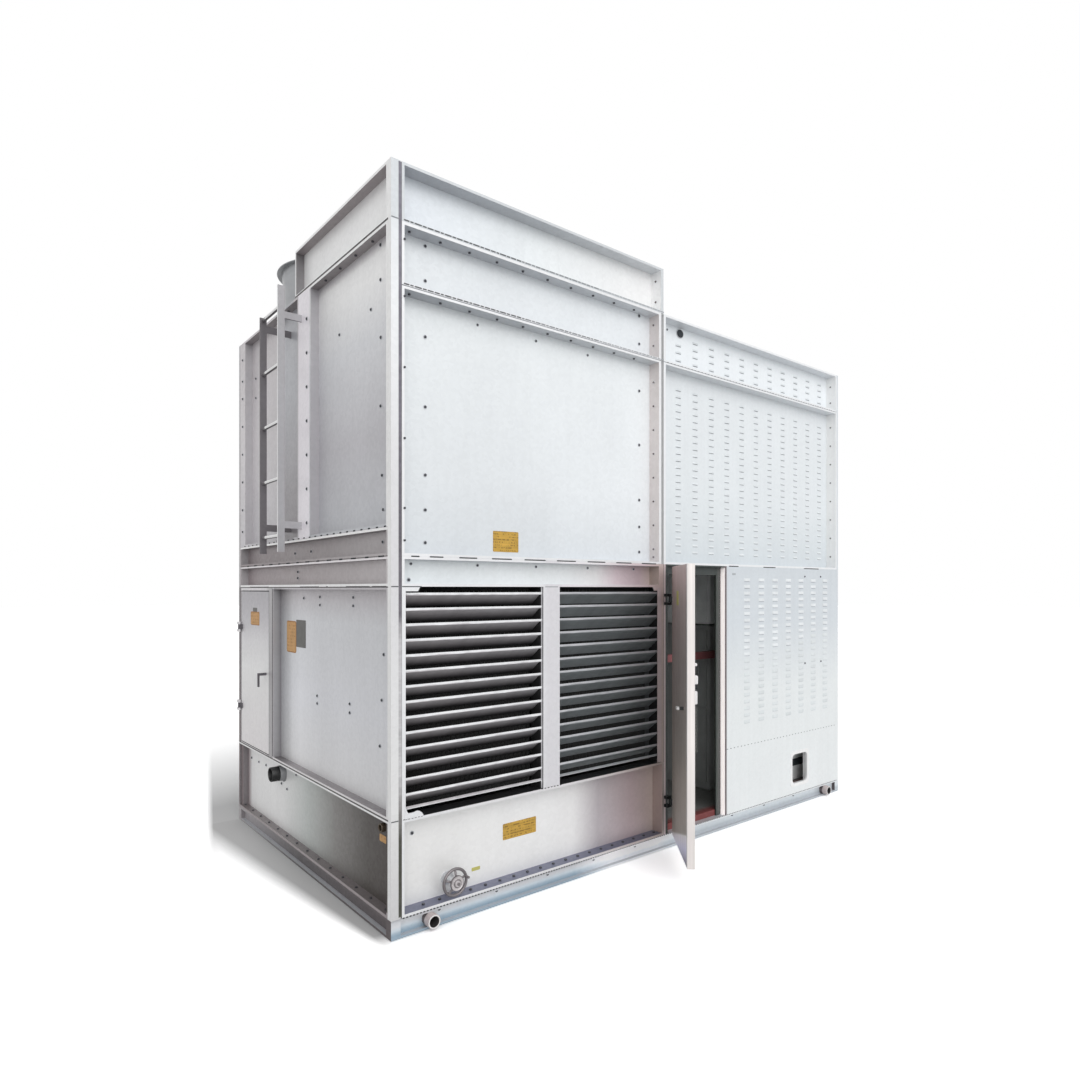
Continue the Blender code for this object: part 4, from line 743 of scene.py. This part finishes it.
# name of the material, colour, roughness and how metallic it is
PLAIN = {
    "bolt": ("bolt_dark_zinc", "#4E4F54", 0.4, 0.5),
    "brownbolt": ("bolt_brown", "#6A5A56", 0.45, 0.4),
    "washer": ("washer_zinc", "#C9CCD0", 0.4, 0.5),
    "gap": ("gap_dark", "#2B2D31", 0.8),
    "softgap": ("gap_soft", "#6F7276", 0.8),
    "joint_dark": ("joint_dark", "#5F6165", 0.8),
    "joint_mid": ("joint_mid", "#8D9094", 0.8),
    "joint_pale": ("joint_pale", "#B0B3B7", 0.8),
    "pressed_upper": ("pressed_upper_paint", "#E6EBEE", 0.4, 0.1),
    "pressed_lower": ("pressed_lower_paint", "#E8ECEF", 0.38, 0.1),
    "pressed_faint": ("pressed_faint_paint", "#E2E7E9", 0.42, 0.1),
    "slit_upper": ("slit_upper_shade", "#A4A8AC", 0.7),
    "slit_lower": ("slit_lower_shade", "#A2A8B2", 0.7),
    "slit_faint": ("slit_faint_shade", "#CDD2D5", 0.7),
    "tag_edge": ("tag_edge", "#A9773F", 0.6, 0.0),
    "wheel_rim": ("wheel_rim_steel", ("#7C7779", 0.9), 0.34, 0.55),
    "wheel_hub": ("wheel_hub_steel", "#CBC6C7", 0.30, 0.35),
    "stub_black": ("stub_black_plastic", "#101112", 0.45),
    # a real collar whose mid grey is partly painted shadow round the hose's mouth
    "stub_grey": ("stub_collar", ("#7E7F81", 0.8), 0.45, 0.2),
    "brass_dark": ("drain_brass", "#5E5346", 0.42, 0.7),
    "tube_pink": ("lifting_tube_barrel", "#C9BDBC", 0.42, 0.2),
    # painted shade: dark lining of the lifting tubes' bores; the drain plug uses it too
    "tube_dark": ("lifting_tube_bore", "#3C3A3B", 0.6),
    "gusset": ("gusset_white_zinc", "#E9EAED", 0.42, 0.15),
    # painted shade: the pinkish grey of a shaded return, on a flat cover
    "stile": ("stile_cover_shade", ("#A6999A", 0.66), 0.42, 0.15),
    "end_joint": ("end_joint_seal", "#4E4A4B", 0.7),
    "cabinet_low": ("cabinet_dark_paint", "#A0A3A2", 0.45, 0.1),
    "cabinet_high": ("cabinet_grey_paint", "#F2F4F4", 0.45, 0.1),
    "terminal_box": ("terminal_box_paint", "#F4F5F5", 0.45, 0.1),
    "dull_chain": ("door_chain_metal", "#7C7C79", 0.4, 0.5),
    "yellow": ("tag_yellow", "#C3BE6E", 0.5, 0.0),
    "dark_plate": ("plate_dark", "#5F5E5B", 0.35, 0.3),
    "rivet": ("rivet_metal", "#B9A36A", 0.35, 0.8),
    "white": ("latch_white", "#F4F2F1", 0.4),
    "white_border": ("window_trim_white", "#F4F4F4", 0.4),
    "pale_metal": ("pale_trim_metal", "#D9DBDE", 0.35, 0.4),
    "black_rubber": ("grommet_rubber", "#2A3036", 0.6),
    "screen": ("drift_screen_plastic", "#141414", 0.6),
    "pump_paint": ("pump_grey_paint", "#3B4043", 0.45, 0.1),
    "pipe_steel": ("inner_pipe_paint", "#4A4C4B", 0.4, 0.4),
    "bare_plate": ("bare_plate_metal", "#B9BEC2", 0.4, 0.4),
}
MATERIALS = {key: plain(*row) for key, row in PLAIN.items()}
MATERIALS.update(gold=brushed_gold(), orange=tag_orange(), groove=groove_shade(), stack=stack_sheet())


# --- The tower's front
for z in (3.329, 3.158, 2.882, 2.537, 2.201, 2.029, 1.868):
    bolt(0.226, FRONT, z, FACE)
for z in (3.287, 3.019, 2.684, 2.35, 2.021, 1.869):
    bolt(0.0700, 0.0, z, FACE, size=0.0060, washer=False)
for z in (3.346, 3.171, 2.877, 2.539, 2.195, 2.027, 1.87):
    bolt(1.75, FRONT, z, FACE)
for x in (0.536, 0.925, 1.313):
    bolt(x, FRONT, 3.012, FACE, size=0.006)
for x in (0.147, 0.536, 0.925, 1.313, 1.70):
    bolt(x, FRONT, 1.762, FACE, size=0.006)
bolt(0.135, FRONT, 1.684, FACE)
bolt(0.153, FRONT, 0.452, FACE)
for z in (3.30, 3.17, 2.94, 2.79, 2.64, 2.49, 2.34, 2.19, 2.04, 1.89, 1.84):
    bolt(1.846, 0.045, z, LEFT, "brownbolt", 0.0055)
for z in (3.45, 3.58):
    bolt(1.866, 0.045, z, LEFT, "brownbolt", 0.0055)
for x in [0.12 + 0.172 * i for i in range(10)]:
    for level in (CASING, BELT):
        solid(pile("flange_bolts_under", "bolt"), at(x, 0.045, level - 0.0145), DOWN,
              circle(0.0075, 6), 0.0, 0.006, 0.001)
# the gaps between flanges, seen as dashes
for level in (BELT, CASING):
    x = 0.066
    index = 0
    while x < 1.86:
        width = (0.030, 0.018, 0.040, 0.022, 0.034)[index % 5]
        kind = "joint_dark" if x < 0.75 else "joint_mid" if x < 1.3 else "joint_pale"
        dash(x + width / 2, 0.0, level + 0.0085, FACE, width, 0.0065, kind)
        x += width + 0.0045
        index += 1
for start, end in ((0.105, 0.150), (0.206, 0.283), (0.374, 0.481), (0.572, 0.700), (0.784, 0.929),
    (1.01, 1.15), (1.24, 1.38), (1.47, 1.60), (1.69, 1.82)):
    dash((start + end) / 2, 0.0, HEADER, FACE, end - start, 0.0060)
x = 0.07
while x < 1.87:
    if not 0.10 < x < 0.90 and not 1.04 < x < 1.86:
        dash(x, 0.0, BASIN, FACE, 0.012, 0.0045)
    x += 0.022
# a flush strip painted with the groove's shade down the tower's corner
box(pile("corner_groove", "groove"), (0.0390, 0.0548), (-0.0008, 0.0002), (0.10, 3.645), 0.0003)
for level, kind in ((3.3745, "joint_mid"), (LOUVRE, "joint_dark"), (BASIN, "joint_dark")):
    dash(0.0195, 0.0, level, FACE, 0.038, 0.0050, kind)
dash(0.110, 0.0, LOUVRE, FACE, 0.105, 0.0050, "joint_dark")
dash(0.972, 0.0, LOUVRE, FACE, 0.092, 0.0038, "joint_mid")
# a flat cover painted with the shade of the return at the louvre bay's right stile
box(pile("stile_cover", "stile"), (1.832, 1.8675), (-0.0002, 0.0022), (0.556, 1.648), 0.0004)
for i in range(6):
    dash(0.078 + 0.017 * i, 0.0, BASIN, FACE, 0.011, 0.0055)
solid(pile("gusset_plate", "gusset"), at(0.0765, 0.0, 0.5536), FACE,
    [(-0.006, 0.070), (-0.006, 0.0), (0.0935, 0.0), (0.0935, 0.006), (0.084, 0.018), (0.072, 0.027),
        (0.059, 0.030), (0.046, 0.027), (0.034, 0.018), (0.022, 0.018), (0.008, 0.032), (0.0, 0.052)],
    -0.001, 0.0024)
# basin flange bolts and the row along the rail's top flange
for i in range(20):
    x = 0.193 + 0.0916 * i
    if x < 1.86:
        solid(pile("basin_flange_bolts", "bolt"), at(x, 0.040, 0.1058), UP, circle(0.0085, 6, i), 0.0, 0.007,
            0.001)
x = 0.065
while x < 3.97:
    dash(x, 0.0, RAIL - 0.0012, FACE, 0.0115, 0.0062, "gap" if x < 1.88 else "softgap")
    x += 0.0185
for x in (0.271, 0.616, 0.960, 1.305, 1.650, 2.62, 3.00, 3.38):
    solid(pile("rail_clips", "bolt"), at(x, 0.0245, 0.0700), FACE, circle(0.008, 6), 0.0, 0.008, 0.001)

# --- The tower's end
for y, z in ((0.204, 3.329), (0.204, 3.158), (0.309, 3.043), (0.201, 2.874), (0.203, 2.538), (0.188, 2.196),
             (0.176, 2.027), (0.694, 3.021), (0.181, 1.869), (1.095, 1.859), (1.355, 1.857),
             (1.308, 1.743), (1.308, 1.705), (0.963, 1.593), (0.963, 1.547), (0.517, 1.595), (0.517, 1.551),
             (0.170, 1.320), (0.191, 1.095), (0.211, 0.867), (1.004, 1.023), (1.004, 0.979), (0.561, 1.031),
             (0.561, 0.984), (1.209, 1.584)):
    bolt(END, y, z, LEFT)
for z in [2.02 + 0.196 * i for i in range(7)]:
    bolt(0.0, 1.035, z, LEFT, size=0.0085)
for z in (2.04, 2.194, 2.390, 2.585, 2.781, 2.977, 3.10, 3.25):
    bolt(0.0, 2.232, z, LEFT)
bolt(END, 2.10, 2.965, LEFT)
bolt(END, 2.10, 3.10, LEFT)
for i in range(26):
    y = 0.06 + 0.085 * i
    if y < 2.27:
        dash(0.0, y, BAND + 0.002, LEFT, 0.024, 0.0075)
for i in range(14):
    y = 0.10 + 0.155 * i
    dash(0.0, y, HEADER, LEFT, 0.040 if i % 2 else 0.060, 0.0075)
for start, end in ((0.045, 0.20), (0.223, 0.50), (0.735, 0.760), (0.86, 1.14), (1.69, 2.07)):
    dash(0.0, (start + end) / 2, LOUVRE, LEFT, end - start, 0.0050)
for i in range(9):
    solid(pile("end_flange_bolts_under", "bolt"), at(0.026, 0.244 + 0.1935 * i, CASING - 0.0145), DOWN,
          circle(0.008, 6), 0.0, 0.006, 0.001)
for y, z in ((2.191, 0.450), (2.036, 0.449), (1.888, 0.455), (1.790, 0.400), (1.335, 0.500), (1.592, 0.394),
             (1.493, 0.379)):
    bolt(END, y, z, LEFT, size=0.007)
plate("end_tag_border", "tag_edge", (END, 1.419, 1.343), LEFT, 0.160, 0.196, thick=0.0010, radius=0.016)
plate("end_tag_orange", "orange", (END - 0.0006, 1.419, 1.343), LEFT, 0.146, 0.182, radius=0.012)
plate("end_plate_dark", "dark_plate", (END, 1.260, 1.368), LEFT, 0.152, 0.166, radius=0.005)
plate("drain_tag", "orange", (END, 0.180, 0.420), LEFT, 0.070, 0.035, radius=0.006)
plate("door_tag_border", "tag_edge", (0.0, 1.965, 1.440), LEFT, 0.178, 0.091, thick=0.0010, radius=0.010,
    body="access_door")
plate("door_tag", "orange", (-0.0006, 1.965, 1.440), LEFT, 0.166, 0.080, radius=0.008, body="access_door")
plate("door_tag_top", "dark_plate", (0.0, 1.965, 1.499), LEFT, 0.085, 0.026, radius=0.010, body="access_door")
for level, low, high, half in ((3.3752, 0.03, 1.22, 0.0044), (BASIN + 0.0002, 0.03, 2.31, 0.0034),
    (LOUVRE - 0.0022, 0.03, 2.28, 0.0026)):
    box(pile("end_joint_lines", "end_joint"), (-0.0008, 0.0003), (low, high), (level - half, level + half),
        0.0003)
box(pile("end_joint_lines", "end_joint"), (-0.0008, 0.0003), (1.6125, 1.6215), (0.57, 1.64), 0.0003)
# bolts on the basin's bottom flange
for i in range(14):
    y = 0.10 + 0.166 * i
    solid(pile("end_basin_flange_bolts", "bolt"), at(0.026, y, 0.1058), UP, circle(0.0075, 6), 0.0, 0.006,
        0.001)

# --- Plates and labels in front
plate("basin_plate", "gold", (0.812, FRONT, 0.339), FACE, 0.226, 0.086, radius=0.005, rivets=True)
plate("casing_plate", "gold", (0.719, FRONT, 1.892), FACE, 0.168, 0.110, radius=0.005, rivets=True)
plate("valve_tag", "yellow", (0.526, FRONT, 0.188), FACE, 0.052, 0.018, radius=0.003)
plate("room_bare_plate", "bare_plate", (2.615, 0.0, 1.742), FACE, 0.036, 0.014, radius=0.003)

# --- Machine room front
for column in range(11):
    x = 2.122 + 0.173 * column
    for z in (3.288, 3.241, 3.194, 3.142):
        if column == 0 and z > 3.25:
            continue
        slot_pressing(x, FRONT, z, 0.060, 0.013, 0.0045, "upper")
    for row in range(24):
        slot_pressing(x, FRONT, 2.948 - 0.0463 * row, 0.060, 0.013, 0.0045, "upper")
for column in range(7):
    x = 2.766 + 0.1725 * column
    for row in range(22):
        z = 1.703 - 0.0475 * row
        shade = "lower" if row < 12 - column * 0.6 else "faint"
        slot_pressing(x, 0.0, z, 0.072, 0.022, 0.0050 if shade == "lower" else 0.0025, shade)
x = 1.93
while x < 3.94:
    dash(x, 0.0, BELT + 0.0012, FACE, 0.014, 0.0022, "softgap")
    x += 0.034
for start, end in ((2.558, 2.666), (2.964, 3.116), (3.497, 3.707)):
    dash((start + end) / 2, 0.0, HEADER, FACE, end - start, 0.0060)
x = 2.54
while x < 3.98:
    dash(x, 0.0, 0.540, FACE, 0.013, 0.0040, "softgap")
    x += 0.040
for x, z in ((3.507, 1.734), (3.733, 1.735), (3.509, 1.068), (3.738, 1.069)):
    bolt(x, 0.0, z, FACE, size=0.006)
bolt(1.9205, 0.0, 3.277, FACE, size=0.006)
for z in [1.90 + 0.15 * i for i in range(8)] + [3.15, 3.28]:
    bolt(3.9647, 0.045, z, LEFT, "brownbolt", 0.005)
solid(pile("cable_grommet", "black_rubber"), at(2.137, FRONT, 3.320), FACE, circle(0.030, 24, 0, 0.85), 0.0,
    0.010, 0.004)
solid(pile("cable_grommet_ring", "pale_metal"), at(2.137, FRONT, 3.320), FACE, circle(0.036, 24, 0, 0.88),
    0.0, 0.003, 0.001)


def window_border():
    bm = pile("window_border", "white_border")
    outer, inner = rounded(0.253, 0.267, 0.030, 5), rounded(0.205, 0.219, 0.034, 5)
    across, up, out = frame_of(FACE)
    centre = at(3.4365, 0.0, 0.2765)
    rings = []
    for ring, height in ((outer, 0.0), (outer, 0.003), (inner, 0.003), (inner, -0.012)):
        rings.append([bm.verts.new(centre + across * a + up * b + out * height) for a, b in ring])
    skin(bm, rings)


window_border()

# --- Behind the louvres, and inside the room


def wavy_screen():
    """Drift screen behind the blades: a corrugated plastic sheet that keeps the daylight out."""
    bm = pile("drift_screen", "screen")
    for start, end in ((0.062, 0.925), (1.020, 1.862)):
        count = 120
        rows = []
        for i in range(count + 1):
            x = start + (end - start) * i / count
            y = 0.137 + 0.007 * math.sin(i * math.pi / 2)
            rows.append((bm.verts.new(at(x, y, 0.56)), bm.verts.new(at(x, y, 1.645))))
        for (a, b), (c, d) in zip(rows, rows[1:]):
            bm.faces.new((a, c, d, b))


wavy_screen()


def cabinets():
    """Control cabinets beside the door, whose grey doors show through the doorway and the window."""
    low = pile("room_cabinet_lower", "cabinet_low")
    box(low, (2.80, 3.36), (0.352, 0.850), (0.1335, 1.365), 0.006)
    box(low, (2.785, 2.80), (0.375, 0.83), (0.19, 0.74), 0.003)
    box(low, (2.785, 2.80), (0.375, 0.83), (0.76, 1.33), 0.003)
    tube(low, [(2.778, 0.44, 0.95), (2.778, 0.44, 1.09)], 0.007, 12)
    high = pile("room_cabinet_upper", "cabinet_high")
    box(high, (2.80, 3.36), (0.352, 0.850), (1.375, 2.10), 0.006)
    box(high, (2.788, 2.80), (0.375, 0.83), (1.41, 2.07), 0.003)
    valve = pile("room_gauge_pipe", "pipe_steel")
    tube(valve, [(2.742, 0.240, 1.20), (2.742, 0.240, 1.46)], 0.009, 14)
    cap = pile("room_gauge_cap", "pale_metal")
    tube(cap, [(2.742, 0.240, 1.395), (2.742, 0.240, 1.410)], 0.018, 16)
    tube(cap, [(2.728, 0.228, 1.335), (2.728, 0.228, 1.350)], 0.012, 16)
    terminal = pile("room_terminal_box", "terminal_box")
    box(terminal, (3.40, 3.88), (0.132, 0.280), (0.1335, 0.50), 0.006)
    box(pile("room_terminal_band", "pump_paint"), (3.42, 3.86), (0.128, 0.133), (0.245, 0.300), 0.002)


cabinets()

# --- Door furniture, drawn on the open leaf
def on_leaf(along, out, z):
    """A place on the open leaf: metres from the pin, and metres out from its outer face."""
    return (PIN.x + LEAF[0] * along + OUT[0] * (out - 0.010),
        PIN.y + LEAF[1] * along + OUT[1] * (out - 0.010), z)


def door_furniture():
    latch = pile("door_latches", "white", "room_door")
    for z, tall, reach in ((1.215, 0.018, 0.028), (1.130, 0.050, 0.032), (1.030, 0.075, 0.029)):
        solid(latch, at(*on_leaf(0.500, -0.042, z)), INWARD, rounded(0.021, tall, 0.006, 3), -0.002,
            reach - 0.003, 0.004)
    dark = pile("door_latch_catches", "gap", "room_door")
    for z, tall in ((1.192, 0.016), (1.090, 0.022)):
        solid(dark, at(*on_leaf(0.500, -0.042, z)), INWARD, rounded(0.020, tall, 0.005, 3), -0.002, 0.024,
            0.003)
    plate("door_tag_yellow", "yellow", on_leaf(0.235, 0.0, 1.585), OUT, 0.070, 0.085, radius=0.004,
        body="room_door")
    knob = pile("door_knob_cap", "white", "room_door")
    solid(knob, at(*on_leaf(0.450, 0.0395, 0.963)), OUT, rounded(0.046, 0.017, 0.006, 3), -0.013, 0.0015,
        0.002)
    chain = pile("door_chain", "dull_chain", "room_door")
    for i in range(13):
        z = 0.965 - 0.019 * i
        drift = 0.004 * math.sin(i * 0.9)
        p = on_leaf(0.498 - drift, -0.062, z)
        turn = LEAF if i % 2 else OUT
        ring = [(p[0] + 0.006 * math.cos(a) * turn[0], p[1] + 0.006 * math.cos(a) * turn[1],
                 p[2] + 0.0125 * math.sin(a)) for a in [math.tau * k / 12 for k in range(13)]]
        tube(chain, ring, 0.0019, 6)


door_furniture()


# --- Round fittings, in place of the faceted solids
def fittings():
    stub = at(0.0497, 1.556, 0.470)
    turned(pile("overflow_hose", "stub_black"), stub, LEFT,
        [(0.0385, 0.020), (0.0385, 0.081), (0.0405, 0.0855), (0.0435, 0.0855), (0.0455, 0.082),
            (0.0455, 0.036), (0.0440, 0.034), (0.0440, 0.020)],
        72)
    solid(pile("overflow_hose", "stub_black"), stub, LEFT, circle(0.0386, 40), 0.020, 0.022)
    # the collar's grey is partly painted shadow round the hose
    turned(pile("overflow_collar", "stub_grey"), stub, LEFT,
        [(0.0300, 0.0), (0.0300, 0.018), (0.0470, 0.035), (0.0480, 0.033), (0.0480, 0.004), (0.0560, 0.004),
            (0.0560, 0.0)],
        72)
    drain = at(0.0497, 0.108, 0.501)
    turned(pile("drain_pipe", "brass_dark"), drain, LEFT,
        [(0.0150, 0.010), (0.0150, 0.051), (0.0170, 0.052), (0.0200, 0.052), (0.0215, 0.050), (0.0215, 0.003),
            (0.0280, 0.003), (0.0280, 0.0), (0.0150, 0.0)],
        48)
    solid(pile("drain_plug", "tube_dark"), drain, LEFT, circle(0.0151, 24), 0.008, 0.012)
    wheel = at(0.350, 0.0, 0.188)
    ring = [
        (0.0645 + 0.0075 * math.cos(a), 0.0075 * math.sin(a)) for a in [math.tau * i / 14 for i in range(14)]]
    turned(pile("handwheel_rim", "wheel_rim", "handwheel"), wheel, FACE, ring, 96)
    for i in range(5):
        turn = math.tau * i / 5 + math.pi / 2
        reach = (math.cos(turn), math.sin(turn))
        tube(pile("handwheel_spokes", "wheel_rim", "handwheel"),
            [(0.350 + 0.012 * reach[0], -0.012, 0.188 + 0.012 * reach[1]),
                (0.350 + 0.030 * reach[0], -0.010, 0.188 + 0.030 * reach[1]),
                (0.350 + 0.048 * reach[0], -0.002, 0.188 + 0.048 * reach[1]),
                (0.350 + 0.062 * reach[0], 0.0, 0.188 + 0.062 * reach[1])],
            0.0055, 12)
    turned(pile("handwheel_hub", "wheel_hub", "handwheel"), wheel, FACE,
        [(0.004, -0.014), (0.016, -0.014), (0.019, -0.006), (0.020, 0.006), (0.030, 0.010), (0.0365, 0.014),
            (0.0375, 0.019), (0.0350, 0.022), (0.030, 0.0195), (0.022, 0.0205), (0.017, 0.027),
            (0.014, 0.032), (0.004, 0.032)],
        64)
    turned(pile("handwheel_rings", "wheel_rim", "handwheel"), wheel, FACE,
        [(0.0345, 0.0208), (0.0352, 0.0232), (0.0372, 0.0232), (0.0384, 0.0205), (0.0384, 0.0150),
            (0.0372, 0.0150)],
        64)
    turned(pile("handwheel_rings", "wheel_rim", "handwheel"), wheel, FACE,
           [(0.0172, 0.0250), (0.0178, 0.0285), (0.0198, 0.0270), (0.0210, 0.0235), (0.0200, 0.0215)], 64)
    solid(pile("handwheel_nut", "wheel_rim", "handwheel"), wheel, FACE, circle(0.0085, 6, 0.3), 0.028, 0.0385,
        0.0015)
    tube(pile("handwheel_grip", "wheel_rim", "handwheel"),
        [(0.4105, -0.002, 0.205), (0.4105, -0.026, 0.205), (0.4105, -0.030, 0.205)], 0.0065, 16)
    turned(pile("valve_flange", "pale_metal"), at(0.350, 0.0797, 0.188), FACE,
        [(0.0130, 0.0), (0.0130, 0.0640), (0.0100, 0.0640), (0.0100, 0.0645), (0.0135, 0.0645),
            (0.0145, 0.012), (0.0330, 0.010), (0.0340, 0.008), (0.0340, 0.0)],
        64)
    for x in (0.209, 3.791):
        for y, normal in ((0.0, FACE), (2.32, BACK)):
            centre = at(x, y, 0.04575)
            turned(pile("lifting_tube_sleeves", "tube_pink"), centre, normal,
                [(0.0331, 0.0005), (0.0331, 0.0396), (0.0336, 0.0398), (0.0344, 0.0390), (0.0344, 0.0005)], 64)
            # a dark lining painted with the shade inside each bore
            turned(pile("lifting_tube_bores", "tube_dark"), centre, normal,
                   [(0.0262, -0.060), (0.0262, 0.0385), (0.0268, 0.0385), (0.0268, -0.060)], 64)


fittings()


def stacks():
    """Two flared stacks turned from sheet, with a flat foot flange and a rolled mouth."""
    for side in ("left", "right"):
        low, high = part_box("fan_stack_" + side)
        lip, foot, top = (high[0] - low[0]) / 2, low[2], high[2]
        centre = Vector(((low[0] + high[0]) / 2, (low[1] + high[1]) / 2, 0.0))
        mouth, throat = lip - 0.030, lip - 0.050
        flare = [
            (throat + 0.020 * (i / 10) ** 2.2, foot + 0.006 + (top - 0.006 - foot - 0.006) * i / 10) for i in range(11)]
        inside = [(r - 0.006, z) for r, z in reversed(flare)]
        roll = [(mouth + 0.010, top - 0.0062), (lip - 0.003, top - 0.0062), (lip, top - 0.004),
            (lip, top - 0.001), (lip - 0.001, top)]
        profile = flare + roll + [(mouth - 0.006, top)] + inside[1:] + [(throat - 0.006, foot),
            (throat + 0.030, foot), (throat + 0.030, foot + 0.006)]
        turned(pile("fan_stack_skin_" + side, "stack"), centre, UP, profile, 128)
        seam = pile("fan_stack_bolts_" + side, "bolt")
        for i in range(16):
            angle = math.tau * (i + 0.5) / 16
            spot = centre + Vector(
                (math.cos(angle) * (throat + 0.016), math.sin(angle) * (throat + 0.016), foot + 0.006))
            solid(seam, spot, UP, circle(0.007, 6), 0.0, 0.006, 0.001)


stacks()
STANDS_FOR = {"overflow_hose": ["overflow_stub"], "drain_pipe": ["drain_stub"],
    "handwheel_rim": ["handwheel"], "valve_flange": ["valve_body"], "fan_stack_skin_left": ["fan_stack_left"],
    "fan_stack_skin_right": ["fan_stack_right"]}
SMOOTH = ("overflow", "drain_pipe", "handwheel_rim", "handwheel_hub", "handwheel_spokes", "valve_flange",
    "lifting", "fan_stack_skin")

# --- The joined meshes become pieces
for name, (bm, material, body) in PIECES.items():
    if not name.startswith(("pressed", "drift")):
        bmesh.ops.recalc_face_normals(bm, faces=bm.faces[:])
    mesh = bpy.data.meshes.new(name)
    bm.to_mesh(mesh)
    bm.free()
    mesh.materials.append(material)
    made = bpy.data.objects.new(name, mesh)
    bpy.context.scene.collection.objects.link(made)
    if name.startswith(SMOOTH):
        mesh.shade_smooth()
        mesh.set_sharp_from_angle(angle=math.radians(35))
    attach(made, body)
    if name in STANDS_FOR:
        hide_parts(*STANDS_FOR[name])

# --- Studio
FLOOR_RADIUS = 70.0
# white of the lit floor, and the colour under the painted shadow
FLOOR_WHITE, FLOOR_SHADE = (1.75, 1.75, 1.75, 1), (0.42, 0.42, 0.42, 1)
SKY_LIT, SKY_SEEN = 0.45, 1.0    # as a light on the plant, and as the white behind it
SUN_STRENGTH, SUN_SPREAD, SUN_FROM = 1.75, math.radians(70), Vector((-0.22, -0.85, 0.47))
# fitted to both vanishing points of the photo
CAMERA_AT, CAMERA_TURN = (-3.572, -4.210, 1.642), (math.radians(90), 0, math.radians(-38.91))
SENSOR, LENS, SHIFT = 36.0, 24.10, 0.0449


def floor_material():
    """A pale floor that shows white where it is lit, with painted soft shadow along the end and beyond it."""
    g = Graph("studio_floor")
    tree = g.tree
    tree.nodes.remove(g.shader)
    x, y = g.along("x"), g.along("y")
    # painted shadow on the floor, as two masks
    # beside the end face: deepest at its foot, gone where the photo's floor is white again
    reach = g.math("DIVIDE", g.times(x, -1.0), g.math("ADD", g.times(y, 0.105), 0.045))
    beside = g.times(g.range(reach, 0.72, 1.45, 0.86, 0.0), g.range(y, -0.05, 0.10),
                     g.range(y, 2.30, 2.90, 1.0, 0.0), g.range(x, 0.3, 0.6, 1.0, 0.0))
    # painted shadow beyond the far corner
    beyond = g.times(g.range(y, 1.55, 2.25), g.math("POWER", g.range(y, 2.7, 5.2, 1.0, 0.0), 1.3),
                     g.range(x, 0.9, 1.6, 1.0, 0.0))
    border = g.math("SUBTRACT", g.math("ADD", x, 0.798), g.times(y, 0.2543))
    # the painted shadow's mask, cut off along a line at the left
    shade = g.times(g.math("MAXIMUM", beside, g.times(beyond, 0.82)), g.range(border, -0.01, 0.035))
    path = tree.nodes.new("ShaderNodeLightPath")
    seen = g.math("MAXIMUM", path.outputs["Is Camera Ray"], path.outputs["Is Transmission Ray"])
    lit = g.node("ShaderNodeBsdfDiffuse", Color=(0.86, 0.86, 0.86, 1))
    shown = g.node("ShaderNodeBsdfDiffuse", Color=g.mix(shade, FLOOR_WHITE, FLOOR_SHADE))
    both = g.node("ShaderNodeMixShader", _0=seen, _1=lit.outputs[0], _2=shown.outputs[0])
    tree.links.new(both.outputs[0], tree.nodes["Material Output"].inputs["Surface"])
    return g.material


def place(name, data):
    made = bpy.data.objects.new(name, data)
    bpy.context.scene.collection.objects.link(made)
    return made


def studio():
    mesh = bpy.data.meshes.new("studio_floor")
    bm = bmesh.new()
    bmesh.ops.create_circle(bm, cap_ends=True, segments=96, radius=FLOOR_RADIUS)
    bm.to_mesh(mesh)
    bm.free()
    mesh.materials.append(floor_material())
    floor = place("studio_floor", mesh)
    floor.location = (0, 0, -0.002)

    world = bpy.data.worlds.new("studio_world")
    bpy.context.scene.world = world
    world.use_nodes = True
    tree = world.node_tree
    background = tree.nodes["Background"]
    background.inputs["Color"].default_value = (1, 1, 1, 1)
    path = tree.nodes.new("ShaderNodeLightPath")
    total = path.outputs["Is Camera Ray"]
    for key in ("Is Glossy Ray", "Is Transmission Ray"):
        joined = tree.nodes.new("ShaderNodeMath")
        joined.operation = "MAXIMUM"
        tree.links.new(total, joined.inputs[0])
        tree.links.new(path.outputs[key], joined.inputs[1])
        total = joined.outputs[0]
    level = tree.nodes.new("ShaderNodeMapRange")
    level.inputs["To Min"].default_value, level.inputs["To Max"].default_value = SKY_LIT, SKY_SEEN
    tree.links.new(total, level.inputs["Value"])
    tree.links.new(level.outputs[0], background.inputs["Strength"])

    sun = bpy.data.lights.new("studio_key", "SUN")
    sun.energy, sun.angle = SUN_STRENGTH, SUN_SPREAD
    place("studio_key", sun).rotation_euler = SUN_FROM.to_track_quat("Z", "Y").to_euler()

    camera = place("camera", bpy.data.cameras.new("camera"))
    camera.data.sensor_width, camera.data.lens, camera.data.shift_y = SENSOR, LENS, SHIFT
    camera.data.clip_end = 300.0
    camera.location, camera.rotation_euler = CAMERA_AT, CAMERA_TURN
    bpy.context.scene.camera = camera
    bpy.context.scene.view_settings.view_transform = "Standard"


studio()
